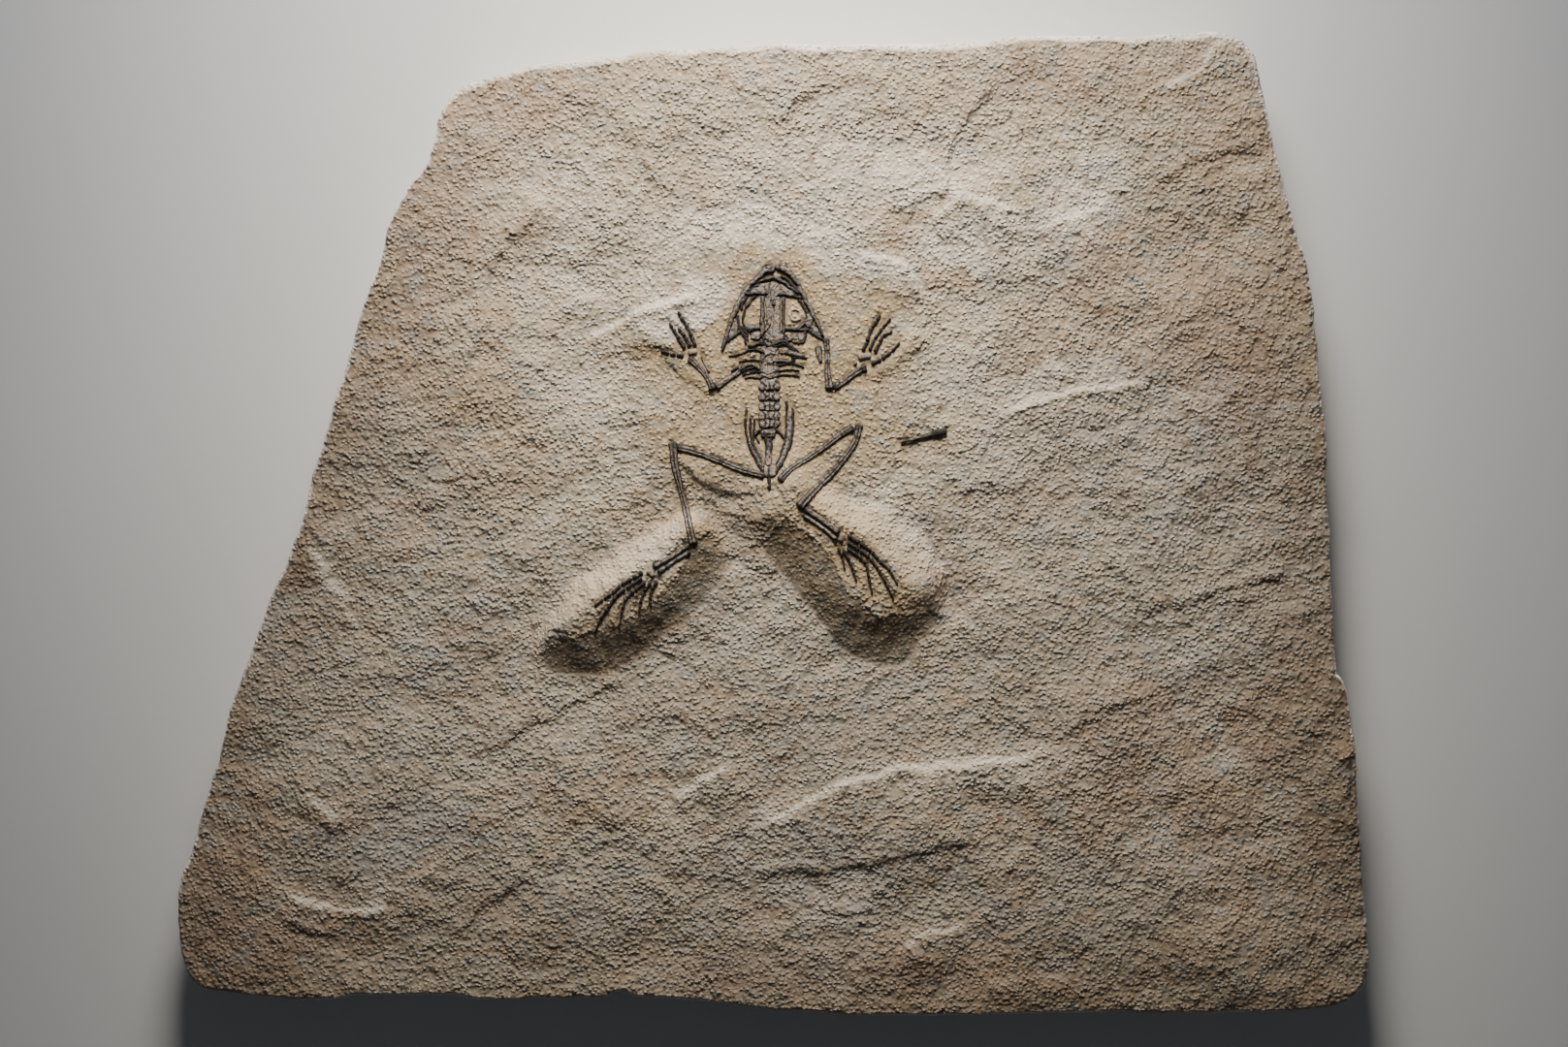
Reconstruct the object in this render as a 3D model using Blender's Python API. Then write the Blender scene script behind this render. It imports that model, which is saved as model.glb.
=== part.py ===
"""Fossil frog: a flattened skeleton on a slab of fine sandstone, lying face up.

Metres, +Z up. The slab's flat back lies on z = 0 and the snout points to +Y. Plan positions and
sizes are given in millimetres from the middle of the slab. A station is a cut through a bone:
(x, y, half width), and its first and last stations are the bone's real ends.
"""

import math

import bmesh
import bpy
import numpy as np
from mathutils import Vector
from mathutils.bvhtree import BVHTree
from mathutils.geometry import delaunay_2d_cdt

MM = 0.001

SLAB_HALF_LENGTH = 247.0
SLAB_HALF_DEPTH = 204.0
SLAB_THICKNESS = 26.0
RIM_WIDTH = 1.5
TOP_RIM_WIDTH = 3.4
TOP_RIM_FROM = 170.0
TOP_RIM_FADE = 14.0
RIM_DROP = 2.2
FOOT_INSET = 2.4
WAIST_INSET = 1.6
WAIST_WAVE = 1.2
WAIST_WAVE_CELL = 17.0
WAIST_LEVEL = 0.42

# Waves over the whole face: (height, cell size, seed).
WAVES = [(1.4, 62, 11), (0.9, 31, 12)]
# Ripples that rise to the right: height at the left edge and at the right edge, cell size, seed.
RIPPLES = {"left": 0.25, "right": 1.0, "cell": 27, "seed": 13}
NOISE_CELLS = 64

OUTLINE_STEP = 14.0
COARSE_SPACING = 11.5
FINE_SPACING = 6.8
POINT_JITTER = 0.22
BORDER_SHARE = 0.55
LEDGE_STEP = 9.0
LEDGE_CLEARANCE = 3.4
LEDGE_BORDER = 2.0

BONE_GAP = 0.35
BONE_RISE = 0.75
BONE_SIDES = 6
DIGIT_SIDES = 5
BONE_TIP = 0.55
BONE_DOME = 0.6
LONGEST_DOME = 0.4
SHARP_ANGLE = math.radians(38)
CLEARANCE_TESTS = (0.2, 0.35, 0.5, 0.65, 0.8)

STONE = ((0.52, 0.42, 0.31), 0.92)
BONE = ((0.075, 0.065, 0.06), 0.62)
PALE_BONE = ((0.34, 0.3, 0.25), 0.7)

OUTLINE = [
    (-151, 140.8), (-143.8, 149.2), (-140, 160.4), (-139.4, 167.6), (-135, 176), (-129, 181.6),
    (-119.8, 185), (-113.4, 187.2), (-111, 186), (-109.4, 188.4), (-97.8, 190.8), (-78.2, 192.4),
    (-53.4, 195.4), (-31, 197.2), (-16.2, 198.2), (41, 198.8), (61, 198.8), (84.6, 200),
    (101.4, 202), (131, 202), (149.4, 201.6), (161.4, 203.2), (182.2, 204), (191, 202.4),
    (197, 198.2), (200.2, 193.2), (203.2, 177.4), (208.6, 152.8), (211, 143.2), (214.2, 129.6),
    (219.8, 112.4), (222.2, 102.8), (224.6, 80), (226.2, 63.2), (228.6, 40.8), (229.8, 16),
    (233.4, -56), (233.4, -61.6), (235.8, -64.4), (238.6, -74), (240.2, -86.8), (241.4, -100.8),
    (242.2, -112), (243.2, -126), (243.7, -144), (244.6, -151.6), (246.2, -164), (247, -173.6),
    (246.8, -184.8), (244.6, -192), (239, -197.6), (227.8, -200.8), (209.4, -202.4),
    (166.6, -203.2), (113, -203.2), (81, -203.6), (31, -204), (6.6, -202.4), (-17.8, -200),
    (-54.6, -196.4), (-64.2, -194.4), (-71, -197), (-97.8, -197.6), (-118.6, -198),
    (-134.6, -196), (-167.4, -195.8), (-183.4, -197.2), (-201.8, -197.2), (-223.8, -194.6),
    (-235, -192.8), (-241.4, -188.4), (-245.4, -178.8), (-247, -167.6), (-247, -156.8),
    (-244.6, -144.4), (-238.6, -126), (-232.4, -104), (-229.8, -96), (-224.4, -75.2),
    (-217, -54.4), (-208.6, -30), (-203, -18.4), (-200.2, -11.2), (-196.2, -1.2), (-193, 10.8),
    (-191, 20.8), (-187.4, 30), (-183, 46), (-175.8, 70.4), (-169.6, 90), (-162.2, 109.6),
    (-160.6, 119.6), (-158.6, 124.4), (-152.6, 136.8),
]

# Broken steps in the face: (drop, half width of the step, how far back the high side reaches,
# points). Each runs with its high side on the left.
LEDGES = [
    (3.0, 0.8, 24, [(-44, 30), (-31, 18.4), (-23, 14), (-15, 11.6), (-6.6, 13.6), (4.6, 13.6),
                    (14, 17)]),
    (2.4, 2.4, 20, [(-62, 76), (-54, 68), (-46, 63), (-34, 60)]),
    (1.6, 1.6, 24, [(-29, 95), (-39, 93), (-55, 89), (-80, 76)]),
    (2.4, 2.4, 20, [(40, 60), (50, 64), (58, 70), (64, 80)]),
    (1.6, 0.8, 22, [(62, 92), (60, 99), (54, 107), (47, 110), (34, 112)]),
    (2.4, 0.7, 34, [(-109, 63), (-123, 67), (-122, 73), (-115, 84), (-118, 92), (-116, 101),
                    (-114, 111), (-111, 117), (-103, 121), (-96, 127), (-93, 142)]),
    (1.8, 3.0, 30, [(-86, 178), (-63, 166), (-57, 156), (-51, 143), (-36, 134)]),
    (1.2, 1.8, 20, [(0, 164), (7, 169), (17, 179)]),
    (2.2, 0.8, 32, [(50, 121), (57, 127), (59, 134), (71, 136), (72, 144), (75, 162), (85, 170),
                    (94, 186)]),
    (1.5, 1.2, 26, [(104, 127), (93, 132), (77, 137), (61, 121)]),
    (1.2, 1.4, 22, [(138, 133), (105, 120)]),
    (2.0, 1.2, 28, [(158, 139), (171, 149), (191, 154), (207, 153)]),
    (1.3, 1.0, 22, [(188, 201), (179, 192), (170, 184), (158, 179)]),
    (1.8, 0.9, 32, [(156, 59), (124, 55), (108, 52), (93, 46)]),
    (1.8, 1.6, 32, [(162, -37), (176, -33), (190, -28), (217, -19)]),
    (2.0, 1.2, 40, [(120, -89), (113, -93), (101, -98), (53, -101), (37, -104), (25, -109),
                    (-14, -130)]),
    (1.4, 1.6, 26, [(120, -86), (137, -78), (156, -71)]),
    (1.8, 1.4, 34, [(-16, -144), (19, -145), (41, -141), (84, -131)]),
    (1.4, 0.8, 9, [(17, -159), (25, -162), (36, -163), (45, -160)]),
    (1.7, 1.2, 32, [(-127, -98), (-103, -85), (-89, -79), (-75, -70), (-56, -65)]),
    (1.2, 1.4, 20, [(-18, -101), (-31, -106), (-42, -115)]),
    (2.0, 1.0, 28, [(-131, -174), (-119, -159), (-107, -149), (-98, -146)]),
    (1.2, 1.6, 18, [(80, -165), (53, -173)]),
    (1.4, 1.4, 18, [(-156, -160), (-183, -158), (-204, -153)]),
    (1.6, 1.2, 16, [(-202, -165), (-190, -169), (-178, -170)]),
    (1.2, 1.6, 14, [(-178, -125), (-193, -110)]),
    (1.6, 1.4, 16, [(-170, -47), (-179, -28), (-186, -18), (-195, -6)]),
    (1.8, 0.9, 14, [(242, -129), (239, -120), (238, -112), (238, -102), (241, -93)]),
]

# Long mounds left standing under the feet: the (u, v) profiles run along the mound from its
# origin, v across it towards its lit flank.
MOUNDS = [
    {"origin": (-58, -33), "heading": 215.5, "side": -1, "height": 7.6, "span": (-50, 50),
     "upper": [(-48, 6), (-33, 17), (-10, 25), (6, 27), (25, 21), (38, 13), (50, 5)],
     "crest": [(-48, -2), (-38, -3), (-31, -3.5), (-18, -8.4), (-3, -4.8), (5, -5.9), (17, -5),
               (25, 1), (36, 2), (50, 3)],
     "lower": [(-48, -12), (-34, -22), (-18, -26), (3, -24), (18, -22), (35, -15), (50, 1)]},
    {"origin": (33, -22), "heading": -36.1, "side": 1, "height": 7.6, "span": (-45, 50),
     "upper": [(-45, -4), (-25, 20), (-8, 29), (11, 31), (26, 24), (37, 16), (50, 7)],
     "crest": [(-45, -9), (-34, -5), (-25, 1.5), (-10, -1.3), (10, -5.9), (23, -5), (38, 2),
               (50, 4)],
     "lower": [(-45, -11), (-33, -16), (-20, -18), (-4, -21), (14, -24), (34, -24), (44, -14),
               (50, 2)]},
]
MOUND_END = 8.0

# The level ground that carries the trunk, and discs where the face is cut finer.
BED = {"middle": (0, 68), "reach": (66, 58), "height": 1.8, "flat": 0.78, "fade": 0.34}
BED_SMOOTHING = 0.85
MOUND_LOSS_ON_BED = 0.25
FINE_DISCS = [(0, 66, 60), (-46, 0, 28), (-58, -33, 40), (33, -22, 42)]

MAXILLA_LEFT = [(-4.6, 103.2, 1.0), (-7.4, 101.4, 1.0), (-11, 98, 1.1), (-13.8, 93.6, 1.1),
                (-16.2, 88.4, 1.1), (-18.4, 82, 1.0), (-20.2, 76.8, 1.2), (-21.4, 71.8, 0.5)]
MAXILLA_RIGHT = [(5.6, 103, 1.0), (8.6, 101, 1.0), (11.6, 97, 1.1), (14, 91.4, 1.1),
                 (16.6, 86.4, 1.1), (18.8, 81.6, 1.1), (20.2, 78, 1.1), (20.9, 75.6, 0.5)]
SKULL_BARS = [
    MAXILLA_LEFT,
    MAXILLA_RIGHT,
    [(-4.4, 104.6, 0.9), (-2.4, 105.8, 1.7), (0.4, 105.6, 1.3)],
    [(6.7, 104.4, 0.9), (4.6, 105.7, 1.7), (1.2, 105.5, 1.3)],
    [(-6.6, 103, 0.9), (0.8, 103.6, 1.3), (8, 102.2, 0.9)],
    [(-8.6, 97.6, 0.7), (-3, 101.2, 0.9), (0.6, 101.9, 0.9), (5, 100.9, 0.9), (10.4, 96.6, 0.7)],
    [(-12.6, 95.4, 0.7), (-7, 96.9, 2.2), (-0.5, 97.4, 2.6), (5.8, 96.8, 2.2), (12.2, 94.2, 0.7)],
    [(-8.6, 93.2, 0.7), (-11.4, 89.4, 0.7), (-12.2, 84.2, 0.8), (-11, 80.8, 0.8),
     (-5.4, 80.8, 0.7)],
    [(6, 93.6, 0.7), (10.8, 91.4, 0.7), (13.2, 87.8, 0.7), (12.6, 83.4, 0.8), (9.6, 79.6, 0.8)],
    [(-4.7, 95.4, 0.9), (-4.7, 86, 0.9), (-4.9, 76.6, 1.1)],
    [(-0.4, 95.6, 1.3), (-0.6, 86, 1.7), (-0.3, 77, 2.2)],
    [(3.6, 95.4, 0.9), (3.8, 86, 0.9), (4.6, 76.4, 1.1)],
    [(-15, 89.6, 0.6), (-15, 83.2, 0.8), (-12.8, 79, 1.0), (-11.6, 74.6, 0.8)],
    [(-18.8, 80.6, 0.8), (-13.4, 79.8, 1.5), (-6.2, 77.8, 1.9), (0, 76.6, 1.7)],
    [(19.4, 79.6, 0.8), (14.8, 81.6, 2.2), (10.6, 78.4, 1.7), (4, 76.6, 1.7)],
    [(-20.2, 75, 0.8), (-16.6, 78.4, 1.1), (-13.6, 79.4, 0.9)],
    [(20.2, 76.6, 0.8), (17, 79.2, 1.1), (14, 80.6, 0.9)],
    [(7.6, 76.6, 1.0), (10.6, 76.4, 2.4), (14, 76.8, 1.0)],
    [(-8, 74, 0.8), (-4.6, 74.8, 1.0), (-0.4, 74.2, 1.3), (4.2, 75, 1.0), (8.2, 73.4, 0.8)],
]

# Left tip, right tip: each a list of (x, y) beyond the body of the vertebra.
VERTEBRAE = [
    ("vertebra_1", 69.4, [(-14.4, 66.8), (-9.6, 67.5)], [(6, 67.2), (12, 67)]),
    ("vertebra_2", 65.1, [(-11, 64.6)], [(6.6, 65.4), (12.6, 64.4)]),
    ("vertebra_3", 60.8, [(-10.8, 60), (-8, 60.4)], [(5.4, 61.8), (10.2, 60)]),
    ("vertebra_4", 56.4, [(-7.4, 56.6)], [(3.6, 57)]),
    ("vertebra_5", 52.1, [(-7.2, 52.6)], [(3.4, 52)]),
    ("vertebra_6", 48.1, [(-7.2, 48.4)], [(3.5, 47.6)]),
    ("vertebra_7", 44.3, [(-7.4, 44)], [(3.8, 44.8)]),
    ("vertebra_8", 41, [(-7, 41.4)], [(3, 40.6)]),
]
BODY_LEFT = -5.6
BODY_RIGHT = 1.7
BODY_HALF = 1.65
BODY_END = 1.6
BODY_END_SHARE = 0.7
PROCESS_HALF = 0.45

SACRUM = [(-8.2, 36, 0.6), (-6.4, 37.4, 0.8), (-4, 37.8, 1.3), (-1.9, 37.5, 1.2),
          (0.4, 37.8, 1.3), (2.4, 37.2, 0.8), (4.4, 35.8, 0.6)]
TRUNK_BONES = {
    "urostyle": [(-2.5, 35.7, 1.1), (-2.5, 33.6, 1.2), (-2.6, 29, 0.9), (-2.3, 26, 1.5),
                 (-2, 24.7, 1.2)],
    "ischium": [(-2, 24, 1.9), (-2, 21.8, 2.4), (-1.9, 19.2, 1.5), (-1.8, 16.6, 0.9),
                (-1.8, 14.6, 0.5)],
    "ilium_left": [(-10.8, 46.6, 0.8), (-10.7, 40, 1.0), (-10.4, 35.2, 1.0), (-9.4, 31.2, 1.0),
                   (-7.8, 27.6, 1.0), (-5.9, 24.6, 0.9)],
    "ilium_right": [(6.8, 48.4, 0.8), (6.6, 42.8, 1.2), (6.5, 38, 1.2), (6, 32.6, 1.2),
                    (4.6, 28, 1.1), (2.4, 23.8, 0.9)],
    "clavicle_left": [(-19, 69.4, 0.5), (-15.2, 69.4, 0.7), (-11.6, 71, 0.8), (-8, 71.4, 0.6)],
    "rib_left": [(-12.4, 61.6, 0.4), (-9.4, 62.3, 0.5), (-6.9, 62.6, 0.4)],
    "suprascapula_right": [(4.4, 70.8, 0.8), (7.2, 70.2, 1.5), (10.2, 69.6, 1.1),
                           (13.2, 68.8, 0.5)],
    "scapula_right": [(18.4, 73.4, 1.0), (18.7, 70.8, 1.4), (19.2, 68.2, 0.8), (19.6, 66, 0.4)],
}

LIMB_BONES = {
    "humerus_left": [(-12.6, 64.2, 0.9), (-14.4, 62.4, 1.1), (-17.4, 60.4, 1.0),
                     (-19.8, 58.8, 1.2), (-22.8, 56.9, 1.7)],
    "radioulna_left": [(-25.4, 56.2, 1.5), (-27, 59.8, 1.2), (-29.6, 63.2, 1.1),
                       (-33.8, 67.4, 1.4)],
    "ulna_splint_left": [(-26.2, 62, 0.4), (-28.4, 66.4, 0.5), (-29.8, 69.2, 0.4)],
    "carpus_left": [(-35.4, 70.3, 1.0), (-33.4, 70.7, 1.2), (-31.2, 71, 0.9)],
    "humerus_right": [(21.8, 75, 1.2), (22.3, 70, 1.2), (22.3, 64, 1.2), (22.7, 59.4, 1.5),
                      (23, 56.6, 1.7)],
    "radioulna_right": [(26, 56.6, 1.6), (29.2, 58.8, 1.4), (33, 61.8, 1.4), (37, 64, 1.6)],
    "wrist_splint_right": [(33, 64.9, 0.4), (34.6, 66.2, 0.5)],
    "carpus_right": [(34.8, 68.4, 1.0), (37.6, 69, 1.3), (40.4, 69.2, 1.0)],
    "femur_left": [(-37.4, 31, 1.6), (-33.8, 30, 1.4), (-28.6, 28.4, 1.3), (-23.8, 26.4, 1.3),
                   (-14.2, 22.6, 1.3), (-9.4, 21.2, 1.4), (-5.8, 20.3, 1.2)],
    "tibiofibula_left": [(-41.4, 32.6, 1.7), (-40.6, 24, 1.6), (-39, 17.2, 1.3),
                         (-37.6, 11, 1.2), (-35.8, 4.4, 1.5), (-34.6, -1, 1.6), (-33, -8, 1.6)],
    "tibiale_left": [(-35.6, -9.4, 1.0), (-40.6, -12.7, 0.9), (-44.2, -15, 0.9),
                     (-48.4, -17.2, 1.1)],
    "fibulare_left": [(-35, -11.9, 0.8), (-39, -14.3, 0.7), (-43, -17, 0.7), (-46.4, -19.3, 0.9)],
    "tarsus_left": [(-51.6, -18.9, 0.8), (-50.4, -20.3, 1.1), (-48.8, -21.8, 0.8)],
    "femur_right": [(3.8, 18.8, 1.7), (7, 22.2, 1.4), (14.6, 27.2, 1.3), (21.8, 32.2, 1.3),
                    (27, 36.2, 1.4), (31.3, 38.9, 1.6)],
    "tibiofibula_right": [(35.2, 39.8, 1.5), (33.8, 33.8, 1.5), (29, 26.8, 1.4),
                          (23.8, 20.4, 1.4), (17.8, 14.6, 1.5), (11.2, 7.4, 1.9)],
    "tibiale_right": [(13.9, 5.7, 1.1), (20.6, 1.2, 1.1), (26.2, -3, 1.2)],
    "fibulare_right": [(13.2, 3, 0.7), (20.4, -1.8, 0.7), (25.3, -6, 0.8)],
    "tarsus_right": [(28.2, -3.9, 0.8), (28, -5.8, 1.0), (27.2, -7.6, 0.8)],
    "loose_bone": [(52.2, 33.6, 0.4), (57, 34.4, 0.5), (61, 35.4, 0.7), (64, 36.3, 1.3),
                   (68, 37.5, 1.5), (71.8, 38.4, 0.9)],
}

DIGITS = {
    "finger_left_1": [(-32.2, 72.9, 0.6), (-33.6, 77, 0.5), (-36, 82.2, 0.5), (-38.2, 85.4, 0.5),
                      (-39.4, 87.6, 0.3)],
    "finger_left_2": [(-34.2, 72.8, 0.6), (-36.2, 77, 0.5), (-39.3, 80.6, 0.4)],
    "finger_left_3": [(-36.4, 72, 0.6), (-38.7, 75.9, 0.5), (-41.4, 80.4, 0.5),
                      (-43, 82.8, 0.3)],
    "finger_left_4": [(-36.8, 69.2, 0.5), (-40, 69.5, 0.4), (-42.8, 70.3, 0.4),
                      (-46.6, 71.3, 0.3)],
    "finger_right_1": [(36.8, 71, 0.6), (38.6, 75, 0.5), (40.4, 80.8, 0.5), (42.6, 83.6, 0.5),
                       (44.2, 86.4, 0.3)],
    "finger_right_2": [(39.5, 71.2, 0.5), (41.6, 76, 0.4), (45, 80.8, 0.4), (48.6, 84.8, 0.3)],
    "finger_right_3": [(41.8, 70.4, 0.6), (43.7, 74.6, 0.5), (45, 77.3, 0.5), (49.2, 79.4, 0.3)],
    "finger_right_4": [(40.2, 65.6, 0.5), (44.6, 67.8, 0.5), (48.6, 70.8, 0.4),
                       (52.2, 74.8, 0.3)],
    "toe_left_1": [(-53.4, -19.8, 0.8), (-57.8, -22.5, 0.7), (-62.4, -25.2, 0.7),
                   (-66.2, -28.8, 0.6), (-69.6, -30.9, 0.5), (-73.4, -34, 0.3)],
    "toe_left_2": [(-53.6, -22.2, 0.7), (-60.4, -26.6, 0.6), (-64.4, -29.6, 0.6),
                   (-67.8, -34.8, 0.6), (-71.2, -39.6, 0.5), (-73.4, -45.2, 0.3)],
    "toe_left_3": [(-52.2, -23.8, 0.6), (-56.8, -27.4, 0.6), (-60.4, -30.2, 0.5),
                   (-61.9, -35.4, 0.5), (-63.4, -42.8, 0.3)],
    "toe_left_4": [(-50, -23.8, 0.6), (-53.2, -28, 0.6), (-54.6, -33, 0.5), (-55, -37, 0.3)],
    "toe_left_5": [(-47.6, -23.2, 0.6), (-50, -27.4, 0.6), (-50.5, -31.6, 0.5),
                   (-50.2, -34.8, 0.3)],
    "toe_right_1": [(30.4, -4.9, 0.8), (35.4, -8, 0.8), (40.2, -11.2, 0.7), (43.2, -14.8, 0.6),
                    (48.2, -19.6, 0.5), (51, -25.2, 0.3)],
    "toe_right_2": [(30.2, -7.5, 0.7), (35.4, -10.8, 0.7), (39.6, -14, 0.6), (43, -18.6, 0.5),
                    (46.4, -24.8, 0.5), (49.4, -31.2, 0.3)],
    "toe_right_3": [(30, -9.9, 0.6), (35, -13.3, 0.6), (38.2, -16.6, 0.5), (39.2, -22.4, 0.5),
                    (40.6, -29.2, 0.3)],
    "toe_right_4": [(28.4, -10.6, 0.6), (31.4, -15.4, 0.5), (32.8, -19.4, 0.5),
                    (34.2, -23.8, 0.3)],
    "toe_right_5": [(26.5, -9.8, 0.5), (28.4, -14, 0.4), (29.4, -19.2, 0.3)],
}


def smooth(t):
    t = np.clip(t, 0.0, 1.0)
    return t * t * (3.0 - 2.0 * t)


def hills(x, y, cell, seed):
    """Smooth random hills about one cell across, between -1 and 1."""
    grid = np.random.default_rng(seed).uniform(-1.0, 1.0, (NOISE_CELLS, NOISE_CELLS))
    u = x / cell + NOISE_CELLS / 2
    v = y / cell + NOISE_CELLS / 2
    column = np.floor(u).astype(int)
    row = np.floor(v).astype(int)
    right = smooth(u - column)
    up = smooth(v - row)
    column %= NOISE_CELLS
    row %= NOISE_CELLS
    next_column = (column + 1) % NOISE_CELLS
    next_row = (row + 1) % NOISE_CELLS
    low = grid[row, column] * (1 - right) + grid[row, next_column] * right
    high = grid[next_row, column] * (1 - right) + grid[next_row, next_column] * right
    return low * (1 - up) + high * up


def offset_from_line(x, y, line):
    """(signed distance, how far along from 0 to 1) to a line of points, positive on its left."""
    nearest = np.full(np.shape(x), np.inf)
    signed = np.zeros(np.shape(x))
    along = np.zeros(np.shape(x))
    lengths = [math.dist(a, b) for a, b in zip(line, line[1:])]
    total = sum(lengths)
    before = 0.0
    for (ax, ay), (bx, by), length in zip(line, line[1:], lengths):
        dx = (bx - ax) / length
        dy = (by - ay) / length
        run = np.clip((x - ax) * dx + (y - ay) * dy, 0.0, length)
        distance = np.hypot(x - ax - run * dx, y - ay - run * dy)
        left = np.where((y - ay) * dx - (x - ax) * dy >= 0, 1.0, -1.0)
        closer = distance < nearest
        nearest = np.where(closer, distance, nearest)
        signed = np.where(closer, distance * left, signed)
        along = np.where(closer, (before + run) / total, along)
        before += length
    return signed, along


def ledge_height(x, y, ledge):
    """A step that drops on the right of its line and dies away on the left."""
    drop, half_width, reach, line = ledge
    signed, along = offset_from_line(x, y, line)
    step = smooth(signed / (2 * half_width) + 0.5)
    ends = smooth(3 * np.minimum(along, 1 - along))
    return drop * ends * step * (1 - smooth(np.abs(signed) / reach))


def mound_height(x, y, mound):
    """A long mound: a rounded flank up to the crest, and a steep one down from it."""
    turn = math.radians(mound["heading"])
    dx = x - mound["origin"][0]
    dy = y - mound["origin"][1]
    u = dx * math.cos(turn) + dy * math.sin(turn)
    v = (dy * math.cos(turn) - dx * math.sin(turn)) * mound["side"]
    upper, crest, lower = (np.interp(u, *zip(*mound[name])) for name in ("upper", "crest", "lower"))
    lit = np.clip((upper - v) / (upper - crest), 0.0, 1.0)
    steep = np.clip((v - lower) / (crest - lower), 0.0, 1.0)
    flank = np.where(v > crest, np.sin(lit * math.pi / 2), steep)
    start, end = mound["span"]
    ends = smooth((u - start) / MOUND_END) * smooth((end - u) / MOUND_END)
    return mound["height"] * ends * flank


def mound_line(mound, name):
    """One of a mound's profiles as a line on the slab."""
    turn = math.radians(mound["heading"])
    ox, oy = mound["origin"]
    line = []
    for u, v in mound[name]:
        v *= mound["side"]
        line.append((ox + u * math.cos(turn) - v * math.sin(turn),
                     oy + u * math.sin(turn) + v * math.cos(turn)))
    return line


def bed_share(x, y):
    """1 on the level ground around the trunk, falling to 0 outside it."""
    (cx, cy), (rx, ry) = BED["middle"], BED["reach"]
    radius = (np.abs((x - cx) / rx) ** 3 + np.abs((y - cy) / ry) ** 3) ** (1 / 3)
    return 1 - smooth((radius - BED["flat"]) / BED["fade"])


def ripple_height(x, y):
    """Ripples on a slant, stronger towards the right of the slab."""
    share = smooth(x / (2 * SLAB_HALF_LENGTH) + 0.5)
    height = RIPPLES["left"] + (RIPPLES["right"] - RIPPLES["left"]) * share
    return height * hills(0.9 * x + 0.4 * y, 1.6 * y - 0.7 * x, RIPPLES["cell"], RIPPLES["seed"])


def face_height(x, y):
    """Height of the slab's face over its back."""
    bed = bed_share(x, y)
    waves = ripple_height(x, y)
    for height, cell, seed in WAVES:
        waves = waves + height * hills(x, y, cell, seed)
    mounds = np.max([mound_height(x, y, mound) for mound in MOUNDS], axis=0)
    level = SLAB_THICKNESS + BED["height"] * bed + waves * (1 - BED_SMOOTHING * bed)
    level = level + mounds * (1 - MOUND_LOSS_ON_BED * bed)
    for ledge in LEDGES:
        level = level + ledge_height(x, y, ledge)
    return level


def filled_in(line, step, loop=False):
    """The line's points with more between them, so that no stretch is longer than step."""
    ends = line[1:] + line[:1] if loop else line[1:]
    points = []
    for a, b in zip(line, ends):
        count = max(1, math.ceil(math.dist(a, b) / step))
        points += [(a[0] + (b[0] - a[0]) * i / count, a[1] + (b[1] - a[1]) * i / count)
                   for i in range(count)]
    return points if loop else points + [line[-1]]


def moved_sideways(line, amount, loop=False):
    """The line shifted to its left by amount, or by amount(x, y)."""
    moved = []
    last = len(line) - 1
    for i, (x, y) in enumerate(line):
        before = line[i - 1] if loop or i > 0 else line[0]
        after = line[(i + 1) % len(line)] if loop or i < last else line[last]
        length = math.dist(before, after)
        left = ((before[1] - after[1]) / length, (after[0] - before[0]) / length)
        shift = amount(x, y) if callable(amount) else amount
        moved.append((x + left[0] * shift, y + left[1] * shift))
    return moved


def scattered(spacing, seed):
    """Points on a staggered grid over the slab, each a little off its place."""
    rng = np.random.default_rng(seed)
    rows = np.arange(-SLAB_HALF_DEPTH, SLAB_HALF_DEPTH, spacing * math.sqrt(3) / 2)
    points = []
    for i, y in enumerate(rows):
        start = -SLAB_HALF_LENGTH + (i % 2) * spacing / 2
        row = np.arange(start, SLAB_HALF_LENGTH, spacing)
        jitter = rng.uniform(-POINT_JITTER, POINT_JITTER, (len(row), 2)) * spacing
        points += [(x + dx, y + dy) for x, (dx, dy) in zip(row, jitter)]
    return np.array(points)


def in_fine_discs(points):
    return np.any([np.hypot(points[:, 0] - x, points[:, 1] - y) < r for x, y, r in FINE_DISCS],
                  axis=0)


def face_points(edge):
    """Points inside the face's edge, closer together around the skeleton and clear of ledges."""
    coarse = scattered(COARSE_SPACING, 1)
    fine = scattered(FINE_SPACING, 2)
    points = np.vstack([coarse[~in_fine_discs(coarse)], fine[in_fine_discs(fine)]])
    border, _ = offset_from_line(points[:, 0], points[:, 1], edge + edge[:1])
    keep = border < -COARSE_SPACING * BORDER_SHARE
    for line in face_lines():
        signed, _ = offset_from_line(points[:, 0], points[:, 1], line)
        keep &= np.abs(signed) > LEDGE_CLEARANCE
    return [tuple(point) for point in points[keep]]


def face_lines():
    """Lines that the face's triangles follow: both edges of each ledge, and those of the mounds."""
    lines = []
    for _, half_width, _, line in LEDGES:
        for side in (half_width, -half_width):
            lines.append(moved_sideways(filled_in(line, LEDGE_STEP), side))
    for mound in MOUNDS:
        for name in ("upper", "crest", "lower"):
            lines.append(filled_in(mound_line(mound, name)[1:-1], LEDGE_STEP))
    return lines


def line_edges(edge):
    """The face's lines inside its edge, as points and the pairs that join them."""
    points = []
    pairs = []
    for line in face_lines():
        strip = np.array(line)
        border, _ = offset_from_line(strip[:, 0], strip[:, 1], edge + edge[:1])
        strip = strip[border < -LEDGE_BORDER]
        first = len(points)
        points += [tuple(point) for point in strip]
        pairs += [(i, i + 1) for i in range(first, len(points) - 1)]
    return points, pairs


def rim_inset(x, y):
    """How far inside the outline the face begins: the rim is wider along the upper edge."""
    share = float(smooth((y - TOP_RIM_FROM) / TOP_RIM_FADE))
    return -(RIM_WIDTH + (TOP_RIM_WIDTH - RIM_WIDTH) * share)


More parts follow.
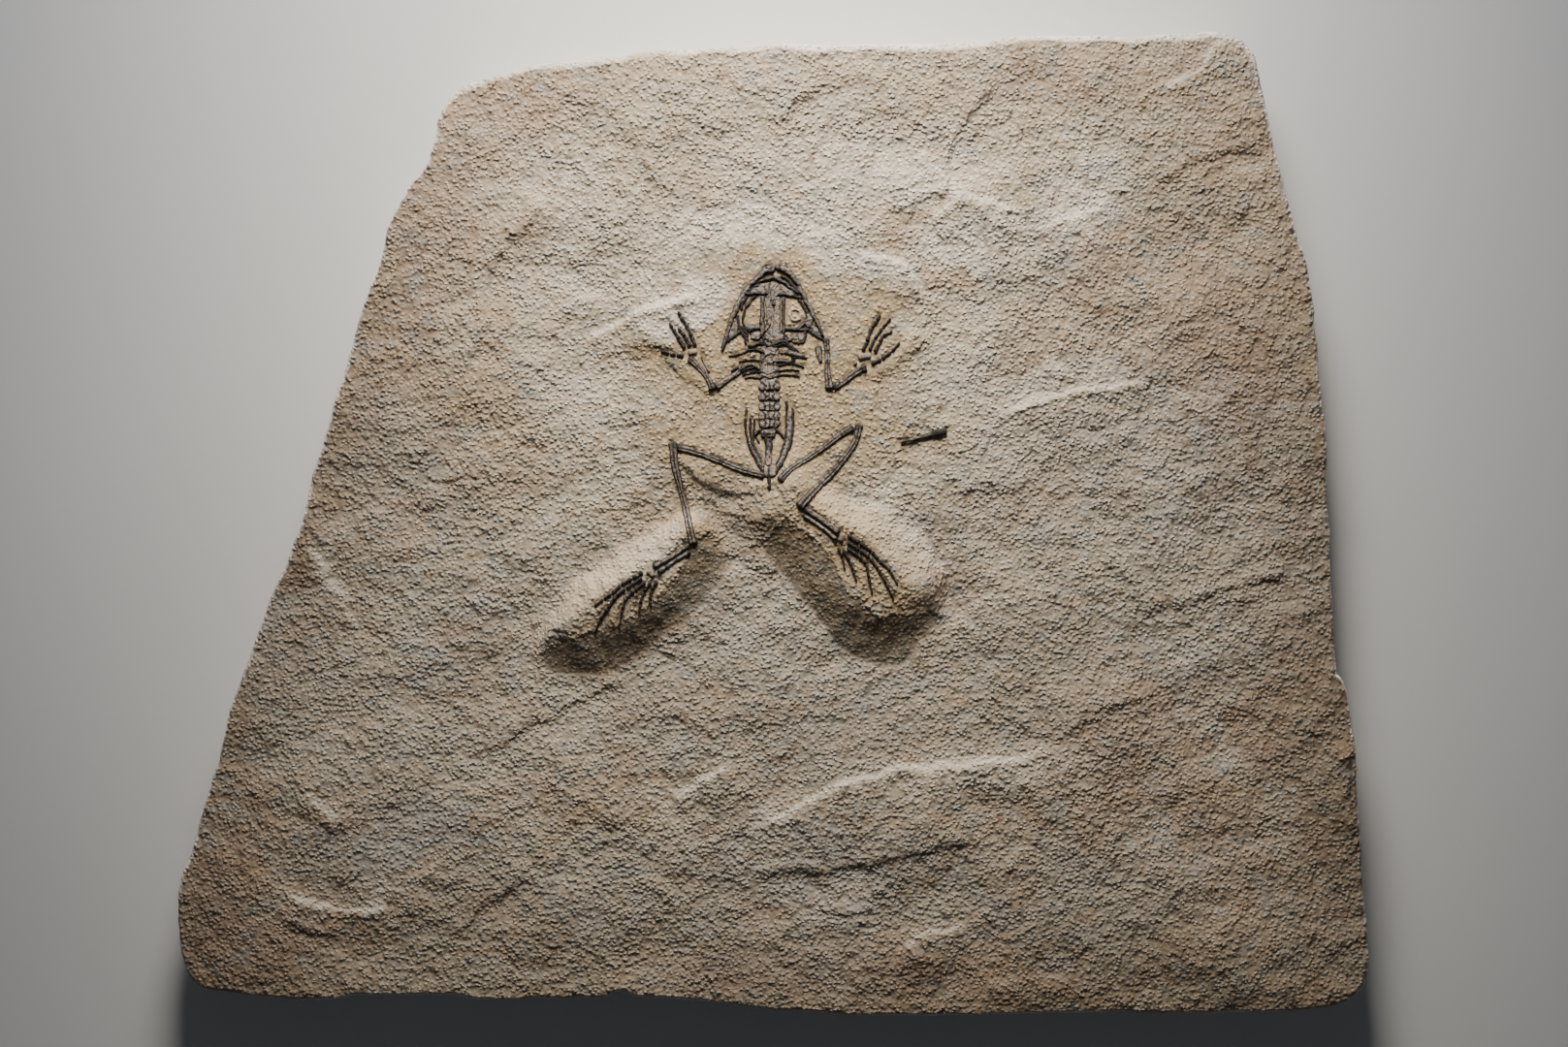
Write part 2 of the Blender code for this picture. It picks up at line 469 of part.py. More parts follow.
def waist_inset(x, y):
    return -(WAIST_INSET + WAIST_WAVE * float(hills(x, y, WAIST_WAVE_CELL, 21)))


def material(name, colour, roughness):
    made = bpy.data.materials.new(name)
    made.use_nodes = True
    shader = made.node_tree.nodes["Principled BSDF"]
    shader.inputs["Base Color"].default_value = (*colour, 1.0)
    shader.inputs["Roughness"].default_value = roughness
    shader.inputs["Metallic"].default_value = 0.0
    return made


def add_object(name, mesh, parent, finish):
    """An object whose origin is at the middle of its mesh, which is given in place."""
    points = np.array([vertex.co for vertex in mesh.vertices])
    middle = Vector((points.min(axis=0) + points.max(axis=0)) / 2)
    for vertex in mesh.vertices:
        vertex.co -= middle
    mesh.shade_smooth()
    mesh.set_sharp_from_angle(angle=SHARP_ANGLE)
    mesh.materials.append(material(name, *finish))
    made = bpy.data.objects.new(name, mesh)
    made.location = middle
    made.parent = parent
    bpy.context.scene.collection.objects.link(made)
    return made


def build_slab(parent):
    """The block of matrix: a broken face, a rounded rim, rough sides and a sawn flat back."""
    outline = filled_in(OUTLINE, OUTLINE_STEP, loop=True)
    edge = moved_sideways(outline, rim_inset, loop=True)
    waist = moved_sideways(outline, waist_inset, loop=True)
    foot = moved_sideways(outline, -FOOT_INSET, loop=True)
    count = len(outline)

    line_points, line_pairs = line_edges(edge)
    plan = edge + line_points + face_points(edge)
    pairs = [(i, (i + 1) % count) for i in range(count)]
    pairs += [(count + a, count + b) for a, b in line_pairs]
    inside_only = 1
    corners, _, triangles, _, _, _ = delaunay_2d_cdt(
        [Vector(point) for point in plan], pairs, [], inside_only, 1e-6)

    shape = bmesh.new()
    xs = np.array([corner.x for corner in corners])
    ys = np.array([corner.y for corner in corners])
    face = [shape.verts.new((x * MM, y * MM, z * MM))
            for x, y, z in zip(xs, ys, face_height(xs, ys))]
    for triangle in triangles:
        shape.faces.new([face[i] for i in triangle])
    rows = [face[:count]]
    for line, level in ((outline, None), (waist, WAIST_LEVEL * SLAB_THICKNESS), (foot, 0.0)):
        row = []
        for (x, y), top in zip(line, rows[0]):
            z = top.co.z - RIM_DROP * MM if level is None else level * MM
            row.append(shape.verts.new((x * MM, y * MM, z)))
        rows.append(row)
    for upper, lower in zip(rows, rows[1:]):
        for i in range(count):
            j = (i + 1) % count
            shape.faces.new([upper[i], upper[j], lower[j], lower[i]])
    shape.faces.new(rows[-1])
    bmesh.ops.recalc_face_normals(shape, faces=shape.faces)
    mesh = bpy.data.meshes.new("slab")
    shape.to_mesh(mesh)
    tree = BVHTree.FromBMesh(shape)
    shape.free()
    add_object("slab", mesh, parent, STONE)
    return tree


def ground_under(tree, x, y):
    """Height of the slab's face at a plan point, in millimetres."""
    hit = tree.ray_cast(Vector((x * MM, y * MM, 1.0)), Vector((0.0, 0.0, -1.0)))
    return hit[0].z / MM


def with_round_ends(stations):
    """The stations with each end drawn in, so that the bone closes in a small dome."""
    rounded = [stations[0][:2] + (stations[0][2] * BONE_TIP,)]
    for (x, y, half), (to_x, to_y, _) in (stations[:2], stations[:-3:-1]):
        step = min(BONE_DOME * half / math.dist((x, y), (to_x, to_y)), LONGEST_DOME)
        rounded.append((x + (to_x - x) * step, y + (to_y - y) * step, half))
    rounded[2:2] = stations[1:-1]
    return rounded + [stations[-1][:2] + (stations[-1][2] * BONE_TIP,)]


def ring_points(stations, i, tree, sides):
    """One cut through a bone: its points around the middle, none lower than the gap allows."""
    x, y, half = stations[i]
    before = stations[max(i - 1, 0)]
    after = stations[min(i + 1, len(stations) - 1)]
    length = math.dist(before[:2], after[:2])
    across = ((before[1] - after[1]) / length, (after[0] - before[0]) / length)
    rise = half * BONE_RISE
    middle = ground_under(tree, x, y) + BONE_GAP + rise
    ring = []
    for k in range(sides):
        angle = math.tau * k / sides + math.pi / 2
        px = x + across[0] * half * math.cos(angle)
        py = y + across[1] * half * math.cos(angle)
        lowest = ground_under(tree, px, py) + BONE_GAP
        ring.append(Vector((px, py, max(middle + rise * math.sin(angle), lowest))))
    return ring


def raise_clear(rings, tree):
    """Lifts rings wherever the face bulges up between two of them."""
    lifts = [0.0] * len(rings)
    for i, (ring, following) in enumerate(zip(rings, rings[1:])):
        for start, end in zip(ring, following):
            for part in CLEARANCE_TESTS:
                point = start.lerp(end, part)
                short = ground_under(tree, point.x, point.y) + BONE_GAP - point.z
                lifts[i] = max(lifts[i], short)
                lifts[i + 1] = max(lifts[i + 1], short)
    for ring, lift in zip(rings, lifts):
        for point in ring:
            point.z += lift


def swept_mesh(name, stations, tree, sides):
    """A closed bone through its stations, flattened and lying just off the slab's face."""
    rings = [ring_points(stations, i, tree, sides) for i in range(len(stations))]
    raise_clear(rings, tree)
    shape = bmesh.new()
    rows = [[shape.verts.new(point * MM) for point in ring] for ring in rings]
    for row, following in zip(rows, rows[1:]):
        for k in range(sides):
            j = (k + 1) % sides
            shape.faces.new([row[k], row[j], following[j], following[k]])
    shape.faces.new(rows[0])
    shape.faces.new(rows[-1])
    bmesh.ops.recalc_face_normals(shape, faces=shape.faces)
    mesh = bpy.data.meshes.new(name)
    shape.to_mesh(mesh)
    shape.free()
    return mesh


def build_bone(name, stations, parent, tree, sides=BONE_SIDES, finish=BONE):
    add_object(name, swept_mesh(name, with_round_ends(stations), tree, sides), parent, finish)


def build_digit(name, stations, parent, tree):
    """A finger or toe, its bones in one line from the wrist or ankle to the tip."""
    add_object(name, swept_mesh(name, stations, tree, DIGIT_SIDES), parent, BONE)


def build_vertebra(name, y, left_process, right_process, parent, tree):
    """One vertebra: a waisted body with a thin process to each side."""
    end_half = BODY_HALF * BODY_END_SHARE
    stations = [(px, py, PROCESS_HALF) for px, py in left_process]
    stations += [(BODY_LEFT, y, end_half), (BODY_LEFT + BODY_END, y, BODY_HALF),
                 (BODY_RIGHT - BODY_END, y, BODY_HALF), (BODY_RIGHT, y, end_half)]
    stations += [(px, py, PROCESS_HALF) for px, py in right_process]
    add_object(name, swept_mesh(name, stations, tree, BONE_SIDES), parent, BONE)


def build_skull(parent, tree):
    """The flattened skull, its bars and plates grown together into one solid."""
    parts = bpy.data.collections.new("skull_bars")
    bpy.context.scene.collection.children.link(parts)
    for i, stations in enumerate(SKULL_BARS):
        mesh = swept_mesh(f"skull_bar_{i}", stations, tree, DIGIT_SIDES)
        if i == 0:
            skull = bpy.data.objects.new("skull", mesh)
            bpy.context.scene.collection.objects.link(skull)
            continue
        bar = bpy.data.objects.new(f"skull_bar_{i}", mesh)
        bar.hide_render = True
        bar.display_type = "WIRE"
        parts.objects.link(bar)
    skull.parent = parent
    skull.data.materials.append(material("skull", *BONE))
    join = skull.modifiers.new("grown together", "BOOLEAN")
    join.operation = "UNION"
    join.operand_type = "COLLECTION"
    join.collection = parts


def clear_scene():
    for obj in list(bpy.data.objects):
        bpy.data.objects.remove(obj)


def main():
    clear_scene()
    fossil = bpy.data.objects.new("fossil_frog", None)
    bpy.context.scene.collection.objects.link(fossil)
    tree = build_slab(fossil)
    build_skull(fossil, tree)
    for name, y, left_process, right_process in VERTEBRAE:
        build_vertebra(name, y, left_process, right_process, fossil, tree)
    build_bone("sacrum", SACRUM, fossil, tree)
    for name, stations in (TRUNK_BONES | LIMB_BONES).items():
        pale = name.startswith(("carpus", "tarsus"))
        build_bone(name, stations, fossil, tree, finish=PALE_BONE if pale else BONE)
    for name, stations in DIGITS.items():
        build_digit(name, stations, fossil, tree)


main()
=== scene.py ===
"""Looks of the fossil frog: a broken sandstone slab and its dark bones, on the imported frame.

Metres, +Z up, as in the CAD. Plan positions and sizes below are in millimetres from the middle of
the slab, and heights are over its flat back. A station is a cut through a bone: (x, y, half width).
The long tables give these in runs of tenths of a millimetre. Each noise call names its own cell,
in millimetres, and its own seed.
"""

import math

import bpy
import numpy as np
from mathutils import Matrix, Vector


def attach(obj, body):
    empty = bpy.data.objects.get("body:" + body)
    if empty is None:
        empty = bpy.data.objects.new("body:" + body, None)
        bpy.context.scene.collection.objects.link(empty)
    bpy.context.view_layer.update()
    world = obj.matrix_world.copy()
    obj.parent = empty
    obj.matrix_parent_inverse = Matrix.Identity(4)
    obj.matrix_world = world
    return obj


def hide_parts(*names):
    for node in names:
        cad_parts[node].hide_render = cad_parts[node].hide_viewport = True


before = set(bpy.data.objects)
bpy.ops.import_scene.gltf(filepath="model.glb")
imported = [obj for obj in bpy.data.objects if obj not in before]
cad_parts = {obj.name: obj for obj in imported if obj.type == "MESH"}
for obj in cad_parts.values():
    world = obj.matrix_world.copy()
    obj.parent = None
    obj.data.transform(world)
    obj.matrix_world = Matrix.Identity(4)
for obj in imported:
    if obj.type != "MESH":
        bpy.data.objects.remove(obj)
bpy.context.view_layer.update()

MM = 0.001

# The slab, as in its CAD solid.
SLAB_THICKNESS = 26.0
RIM_WIDTH = 1.5
TOP_RIM_WIDTH = 3.4
TOP_RIM_FROM = 170.0
TOP_RIM_FADE = 14.0
RIM_DROP = 2.2
FOOT_INSET = 2.4
WAIST_INSET = 1.6
WAIST_LEVEL = 0.42
SLAB_HALF_LENGTH = 247.0
WAVES = [(1.4, 62, 11), (0.9, 31, 12)]
RIPPLES = {"left": 0.25, "right": 1.0, "cell": 27, "seed": 13}
NOISE_CELLS = 64
FINE_NOISE_CELLS = 256

# The fine mesh of the slab: its cells, its corners and its broken sides.
CELLS_ACROSS = 304
CELLS_UP = 250
CROWDING = 0.16
RIM_ROWS = 4
WALL_ROWS = 9
SLAB_CORNERS = [(-133, 177.5), (198, 197), (245, -191), (-241.5, -188.5)]
CHIP_DEPTH = 0.9
WALL_BITE = 1.95

# Edges and texture of the face.
LEDGE_DROP_SHARE = 0.9
SHADOW_DROP_SHARE = 0.48
LEDGE_TAPER = 7
LEDGE_CRISPNESS = 0.8
SHADOW_CRISPNESS = 1.3
LEDGE_FOOT = 1.5
LEDGE_REACH = 4.5
LEDGE_WARP = 1.5
MOUND_WARP = 0.9
SCRATCH_HEIGHT = 0.45
MOUND_TOP = 0.62
MOUND_TILT = 0.12
MOUND_FOOT = 0.08
BEVEL_TOP = 0.34
BEVEL_FADE = 0.25
SCRAPED_FOOT = 0.12
SCRAPED_TOP = 0.9
SCRAPED_FADE = 0.1
STRIPE_CELL = 3.4
FLAKE_TURN = 21.0
FLAKE_HEIGHT = 0.10
LAMINA = 0.38
LAMINA_EDGE = 0.22
ROLL_HEIGHT = 0.8
BUMP_HEIGHT = 0.28
BONE_HALO = 2.6
GOLDEN_FROM = 3.0
GOLDEN_REACH = 15.0
# The stone is darker near the edges of the face, and much less so towards its top edge.
EDGE_DARKENING_REACH = 62.0
EDGE_DARKENING_FADE = (10, 160)
EDGE_DARKENING_LOSS = 0.85
RAISED_FULL = 0.4
OPEN_FROM = 2.5

# Where flakes begin, and over what length they come in: to the right, to the left and downwards.
FLAKY_RIGHT = (10, 190)
FLAKY_LEFT = (110, 60)
FLAKY_LOW = (90, 50)

# How much of the fine texture is lost on the bed, the steep flanks, beside bone and where scraped.
STILL_BED = 0.3
STILL_FLANK = 0.4
STILL_BONE = 0.6
STILL_SCRAPED = 0.1

# Random hills added up: (height, length along x, length along y, cell, seed).
CHIP_LAYERS = [(1.0, 1, 1, 9.0, 71), (0.6, 1, 1, 3.5, 72)]
RIM_LAYERS = [(0.3, 1, 1, 14.0, 73)]
WALL_LAYERS = [(0.7, 1 / 1.5, 1, 6.0, 75), (0.6, 1 / 1.5, 1 / 1.8, 2.6, 76),
               (0.7, 1 / 0.3, 1 / 2.4, 6.0, 77)]
LAMINA_LAYERS = [(2.0, 1.5, 1, 40.0, 135), (0.8, 1.3, 1, 15.0, 136)]
CRUMB_LAYERS = [(0.042, 1 / 1.3, 1, 2.9, 55), (0.07, 0.8, 1, 5.2, 56)]
FLAKE_LAYERS = [(2.2, 2, 1, 8.0, 65), (1.2, 1.5, 1, 3.4, 66)]
BONE_LAYERS = [(0.10, 1, 1, 0.9, 113), (0.07, 1, 1, 0.45, 114)]

# Bones.
RELIEF_CELL = 0.31
RELIEF_MARGIN = 2.6
RIDGE_FALL = 3.6
BONE_SINK = 0.1
BONE_EDGE = -0.9
BONE_FOOT = -1.5
SHAFT_STEP = 0.7
SHAFT_SIDES = 16
SHAFT_RISE = 0.62
SHAFT_LIP = 0.22
KNOB_REACH = 1.5
GROOVE_WIDTH = 0.26
GROOVE_FROM = 3.0
CRACK_DEPTH = 0.16
CRACK_FROM = (0.62, 0.2)
JOINT_STAIN = 1.6
# Where the painted highlight along a bone's top begins, and over what share it comes in.
TOP_LIGHT_FROM = (0.5, 0.35)
GROUND_EASING = 5
JOINT_GAP = 0.06
PHALANX_WAIST = 0.78
FINGER_WIDTH = 1.45
TOE_WIDTH = 1.15
DIGIT_RISE = 0.3
LOOSE_RISE = 0.55
LOOSE_LIGHT = 0.25
DIGIT_LIGHT = 0.4
LIMB_KNOB = 0.42
DIGIT_KNOB = 0.35
SHALLOW_GROOVE = 0.1
DIGIT_SEED = 60
WIDE_BONE = 1.6
JOINT_REACH = {"humerus_left": 1.5, "humerus_right": 1.5, "radioulna_left": 1.5,
               "radioulna_right": 1.6, "femur_left": 2.4, "femur_right": 2.0,
               "tibiofibula_left": 1.0, "tibiofibula_right": 1.2, "tibiale_left": 1.2,
               "tibiale_right": 1.2, "fibulare_left": 1.2, "fibulare_right": 1.2}
GROOVES = {"loose_bone": 0.0, "femur_left": 0.42, "femur_right": 0.36, "tibiofibula_left": 0.45,
           "tibiofibula_right": 0.5, "radioulna_left": 0.5, "radioulna_right": 0.5,
           "humerus_right": 0.4}

# Soft patches of colour on the face, a seed and (x, y, half length, half width, turn, strength).
PATCHES = {
    "ochre": (91, [
        (-105, 158, 60, 26, 0, 0.45), (-20, 185, 90, 16, 0, 0.3), (-143, 128, 52, 26, 65, 0.85),
        (-163, 80, 62, 20, 72, 0.6), (-183, 16, 46, 18, 68, 0.4), (-103, 172, 56, 18, 8, 0.85),
        (-45, 184, 66, 13, 2, 0.6), (113, 184, 70, 14, 2, 0.75), (20, 190, 60, 8, 0, 0.5),
        (190, 170, 34, 26, -60, 0.55), (-205, -56, 42, 12, 72, 0.8), (-2, 84, 40, 24, 90, 0.35),
        (-63, 108, 24, 10, -10, 0.45), (-104, 120, 24, 12, 70, 0.5), (216, -40, 70, 18, -88, 0.25),
        (192, 84, 56, 20, -80, 0.3), (150, 92, 24, 60, 20, 0.3), (173, -132, 60, 30, 10, 0.3),
        (-70, -84, 30, 10, 20, 0.35), (-228, -180, 26, 16, 20, 0.75), (-222, -110, 50, 14, 75, 0.6),
        (41, -186, 100, 12, 0, 0.35), (4, 40, 34, 26, 0, 0.25), (-186, -150, 30, 26, 40, 0.45),
        (230, -170, 40, 14, 90, 0.45),
    ]),
    "pale": (95, [
        (-83, 140, 34, 22, -30, 0.45), (-75, 100, 38, 18, 10, 0.6), (-39, 92, 20, 13, 15, 2.4),
        (65, 141, 22, 9, 10, 1.1), (79, 156, 12, 8, 60, 0.8), (89, 116, 38, 16, -8, 1.0),
        (128, 138, 26, 20, 60, 0.9), (1, 121, 54, 11, 0, 1.0), (43, 106, 17, 8, -20, 1.1),
        (-79, 44, 32, 22, 80, 0.5), (-60, -20, 26, 10, 35, 0.6), (56, 0, 26, 8, -50, 0.75),
        (81, -100, 60, 8, 8, 0.5), (-187, -10, 24, 8, 68, 0.7), (120, 56, 36, 5, 8, 0.6),
        (40, 150, 60, 24, 0, 0.6), (96, 60, 50, 40, 0, 0.3), (-20, 176, 40, 12, 0, 0.25),
        (-167, 26, 30, 40, 0, 0.35), (215, 10, 20, 50, 0, 0.35), (30, -161, 14, 4, 0, 0.6),
        (-160, -148, 18, 6, 20, 0.5), (-14, 12, 22, 8, 0, 0.35),
    ]),
    "grey": (99, [
        (-147, -128, 56, 28, 15, 0.8), (25, -140, 90, 26, 4, 0.7), (-90, -150, 60, 24, 0, 0.6),
        (0, -80, 120, 40, 0, 0.55), (130, -60, 70, 60, 30, 0.45), (125, 130, 30, 26, 60, 0.35),
        (120, -150, 70, 30, 0, 0.5), (-120, -40, 60, 40, 40, 0.5), (90, 30, 60, 34, -30, 0.35),
        (-20, -60, 60, 40, 0, 0.5), (-150, 0, 30, 50, 0, 0.5), (165, 26, 50, 50, 0, 0.6),
        (-8, -160, 60, 34, 0, 0.5), (-125, -74, 60, 44, 20, 0.45), (88, 10, 60, 60, 0, 0.35),
        # The grey patch at (-26, -36), in the dip between the mounds, is painted shade.
        (-26, -36, 16, 15, 0, 0.9), (-20, -66, 16, 18, 0, 0.5), (-195, -70, 30, 50, 0, 0.5),
        (-110, -157, 50, 30, 0, 0.4), (85, -75, 60, 40, 0, 0.45),
    ]),
    "rosy": (103, [
        (-63, -20, 28, 14, 35, 0.6), (67, -16, 32, 12, -60, 0.6), (185, 60, 60, 28, -80, 0.5),
        (120, 100, 40, 20, 40, 0.35), (-20, 80, 20, 30, 0, 0.25), (160, -90, 60, 26, 20, 0.4),
        (-228, -150, 40, 16, 80, 0.45), (-150, 150, 16, 24, 0, 0.3), (20, -185, 80, 12, 0, 0.3),
    ]),
    # Painted shade: below the pelvis ledge and in the hollow beside the left hand.
    "shaded": (107, [
        (-10, 1, 20, 15, -30, 1.0), (-50, 66, 12, 7, -40, 0.7), (-36, 58, 14, 5, -38, 0.6),
    ]),
}


# Colours of the stone, and from BLACK on those of the bone.
CREAM = (0.63, 0.54, 0.40)
TAN = (0.575, 0.47, 0.35)
OCHRE = (0.56, 0.43, 0.325)
GREY = (0.44, 0.44, 0.415)
ROSY = (0.44, 0.31, 0.235)
PALE = (0.95, 0.885, 0.765)
RUST = (0.44, 0.29, 0.18)
# Paler tops: on the grain, a painted highlight.
CHALK_AND_HIGHLIGHT = (0.60, 0.54, 0.44)
HOLLOW = (0.42, 0.35, 0.28)
# Painted shade in the hollows of the grain.
PAINTED_GRAIN_SHADE = (0.42, 0.39, 0.35)
SPECK = (0.45, 0.38, 0.32)
NEAR_BONE_DARKENING = (0.52, 0.43, 0.35)
# Paler rim: partly the broken edge's own colour, partly painted highlight.
RIM = (0.74, 0.69, 0.63)
WARM = (0.575, 0.41, 0.26)
COOL = (0.44, 0.465, 0.455)
GOLD = (0.60, 0.47, 0.29)
BLUSH = (0.58, 0.465, 0.34)
# Darkens the stone near its edges, and in the shaded patches as painted shade.
EDGE_DARKENING_AND_SHADE = (0.66, 0.64, 0.62)
# Painted shade on the mounds' steep flanks.
PAINTED_FLANK_SHADE = (0.53, 0.51, 0.48)
CRACK = (0.50, 0.36, 0.24)
BLACK = (0.014, 0.011, 0.010)
UMBER = (0.33, 0.24, 0.17)
SLATE = (0.33, 0.295, 0.27)
FLECK = (0.30, 0.245, 0.18)
CHALKY_BONE = (0.17, 0.14, 0.105)

# How deep each layer of the stone's grain goes, as a share of its bump in metres.
LUMP_SMOOTHNESS = 0.5
LUMP_POWER = 3.0
GRIT_DEPTH = 0.52
COARSE_DEPTH = 0.4
FINE_DEPTH = 0.9
LINE_DEPTH = 0.16
STONE_BUMP = 0.0025

# Lights, floor and camera, in metres.
KEY_PLACE = (-0.02, 0.64, 0.345)
KEY_SIZE = 0.30
KEY_ENERGY = 5.2
KEY_COLOUR = (0.97, 0.965, 1.0)
ACCENT_ENERGY = 1.3
ACCENT_COLOUR = (1.0, 0.92, 0.78)
ACCENT_SPREAD = 56
FILL_PLACE = (-0.3, -0.5, 1.9)
FILL_SIZE = 1.6
FILL_ENERGY = 0.6
FILL_COLOUR = (0.93, 0.96, 1.0)
WORLD_COLOUR = (0.82, 0.88, 1.0, 1.0)
WORLD_STRENGTH = 0.05
FLOOR_TONES = ((0.60, 0.595, 0.585), (0.63, 0.625, 0.615))
FLOOR_HALF = 2.5
CAMERA_PLACE = (0.0044, 0.0, 0.926)
LENS = 50


def runs(count, numbers, *rest, unit=10):
    """The numbers in rows of count, divided by the unit, and each row followed by the rest."""
    return [tuple(n / unit for n in numbers[i:i + count]) + rest
            for i in range(0, len(numbers), count)]


# The slab's outline, clockwise.

OUTLINE = runs(2, [
    -1510, 1408, -1438, 1492, -1400, 1604, -1394, 1676, -1350, 1760, -1290, 1816, -1198, 1850, -1134,
    1872, -1110, 1860, -1094, 1884, -978, 1908, -782, 1924, -534, 1954, -310, 1972, -162, 1982, 410,
    1988, 610, 1988, 846, 2000, 1014, 2020, 1310, 2020, 1494, 2016, 1614, 2032, 1822, 2040, 1910, 2024,
    1970, 1982, 2002, 1932, 2032, 1774, 2086, 1528, 2110, 1432, 2142, 1296, 2198, 1124, 2222, 1028,
    2246, 800, 2262, 632, 2286, 408, 2298, 160, 2334, -560, 2334, -616, 2358, -644, 2386, -740, 2402,
    -868, 2414, -1008, 2422, -1120, 2432, -1260, 2437, -1440, 2446, -1516, 2462, -1640, 2470, -1736,
    2468, -1848, 2446, -1920, 2390, -1976, 2278, -2008, 2094, -2024, 1666, -2032, 1130, -2032, 810,
    -2036, 310, -2040, 66, -2024, -178, -2000, -546, -1964, -642, -1944, -710, -1970, -978, -1976,
    -1186, -1980, -1346, -1960, -1674, -1958, -1834, -1972, -2018, -1972, -2238, -1946, -2350, -1928,
    -2414, -1884, -2454, -1788, -2470, -1676, -2470, -1568, -2446, -1444, -2386, -1260, -2324, -1040,
    -2298, -960, -2244, -752, -2170, -544, -2086, -300, -2030, -184, -2002, -112, -1962, -12, -1930,
    108, -1910, 208, -1874, 300, -1830, 460, -1758, 704, -1696, 900, -1622, 1096, -1606, 1196, -1586,
    1244, -1526, 1368,
])

# Broken steps in the face: (drop, half width of the step, how far back the high side reaches,
# points in millimetres). Each runs with its high side on the left.
LEDGES = [(drop, half_width, reach, runs(2, line, unit=1))
          for drop, half_width, reach, *line in [
    (1.9, 0.5, 24, -44, 30, -31, 18.4, -23, 14, -15, 11.6, -6.6, 13.6, 4.6, 13.6, 14, 17),
    (1.5, 2.8, 18, -62, 74, -57, 72, -48.6, 72, -43, 66, -36, 59, -27, 53.5, -22, 52),
    (1.6, 7.0, 34, -36, 12, -16, 3, 4, -3),
    (1.6, 1.6, 24, -29, 95, -39, 93, -55, 89, -80, 76),
    (2.4, 2.4, 20, 40, 60, 50, 64, 58, 70, 64, 80),
    (1.6, 0.8, 22, 62, 92, 60, 99, 54, 107, 47, 110, 34, 112),
    (1.2, 2.0, 16, -51.5, 51, -55, 26, -58, 5),
    (2.4, 0.7, 34, -109, 63, -123, 67, -122, 73, -115, 84, -118, 92, -116, 101, -114, 111, -111, 117,
     -103, 121, -96, 127, -93, 142),
    (1.8, 3.0, 30, -86, 178, -63, 166, -57, 156, -51, 143, -36, 134),
    (1.2, 1.8, 20, 0, 164, 7, 169, 17, 179),
    (2.2, 0.8, 32, 50, 121, 57, 127, 59, 134, 71, 136, 72, 144, 75, 162, 85, 170, 94, 186),
    (1.5, 1.2, 26, 104, 127, 93, 132, 77, 137, 61, 121),
    (1.2, 1.4, 22, 138, 133, 105, 120),
    (2.0, 1.2, 28, 158, 139, 171, 149, 191, 154, 207, 153),
    (1.3, 1.0, 22, 188, 201, 179, 192, 170, 184, 158, 179),
    (1.8, 0.9, 32, 156, 59, 124, 55, 108, 52, 93, 46),
    (1.8, 1.6, 32, 162, -37, 176, -33, 190, -28, 217, -19),
    (2.0, 1.2, 40, 120, -89, 113, -93, 101, -98, 53, -101, 37, -104, 25, -109, -14, -130),
    (1.4, 1.6, 26, 120, -86, 137, -78, 156, -71),
    (1.8, 1.4, 34, -16, -144, 19, -145, 41, -141, 84, -131),
    (1.4, 0.8, 9, 17, -159, 25, -162, 36, -163, 45, -160),
    (1.7, 1.2, 32, -127, -98, -103, -85, -89, -79, -75, -70, -56, -65),
    (1.2, 1.4, 20, -18, -101, -31, -106, -42, -115),
    (2.0, 1.0, 28, -131, -174, -119, -159, -107, -149, -98, -146),
    (1.2, 1.6, 18, 80, -165, 53, -173),
    (1.4, 1.4, 18, -156, -160, -183, -158, -204, -153),
    (1.6, 1.2, 16, -202, -165, -190, -169, -178, -170),
    (1.2, 1.6, 14, -178, -125, -193, -110),
    (1.6, 1.4, 16, -170, -47, -179, -28, -186, -18, -195, -6),
    (1.8, 0.9, 14, 242, -129, 239, -120, 238, -112, 238, -102, 241, -93),
]]

# Long mounds left standing under the feet. Their profiles are u, v pairs in millimetres: u runs
# along the mound from its origin, v across it towards its lit bevel.
MOUNDS = [
    {"origin": (-58, -33), "heading": 215.5, "side": -1, "height": 7.2, "span": (-49, 50),
     "ramps": (12, 24), "shown": (-44, 47),
     "upper": [-56, 16, -36.3, 18.6, -19.4, 22, -3.6, 23.5, 17.3, 21.4, 34.5, 14.3, 48, 8],
     "crest": [-56, 4, -36, 6, -31, 4, -20, -2, -10.4, -4.4, 4.4, -4.7, 17.8, -1.5, 38.6, 6, 48, 6],
     "lower": [-56, -8, -42, -12, -24, -18.7, -10.5, -19, 9.2, -19.4, 26.2, -19.3, 38.8, -10, 48, 1]},
    {"origin": (33, -22), "heading": -36.1, "side": 1, "height": 7.2, "span": (-60, 50),
     "ramps": (20, 30), "shown": (-38, 41),
     "upper": [-58, 40, -45, 34, -33, 27, -24.2, 25.7, -1.6, 32, 14.1, 31.6, 29.8, 24.2, 42.1, 10, 48,
               8],
     "crest": [-58, -2, -45, 0, -33, 4, -12.6, 0.2, 3.2, -7.1, 17.2, -7.3, 26.6, 0, 35.6, 7, 48, 7],
     "lower": [-58, -14, -38, -13.4, -12, -20, -2.9, -22.5, 10.9, -27.5, 25.6, -27, 36.6, -21, 42.8,
               -11, 48, -2]},
]

# The level ground that carries the trunk, and how the ripples and mounds fade on it.
BED = {"middle": (0, 68), "reach": (66, 58), "height": 1.8, "flat": 0.78, "fade": 0.24}
BED_SMOOTHING = 0.85
MOUND_LOSS_ON_BED = 0.25

# The bodies of the vertebrae: their sides, and how far up the slab each lies.
BODY_LEFT = -5.6
BODY_RIGHT = 1.7
VERTEBRA_ROWS = (69.4, 65.1, 60.8, 56.4, 52.1, 48.1, 44.3, 41)

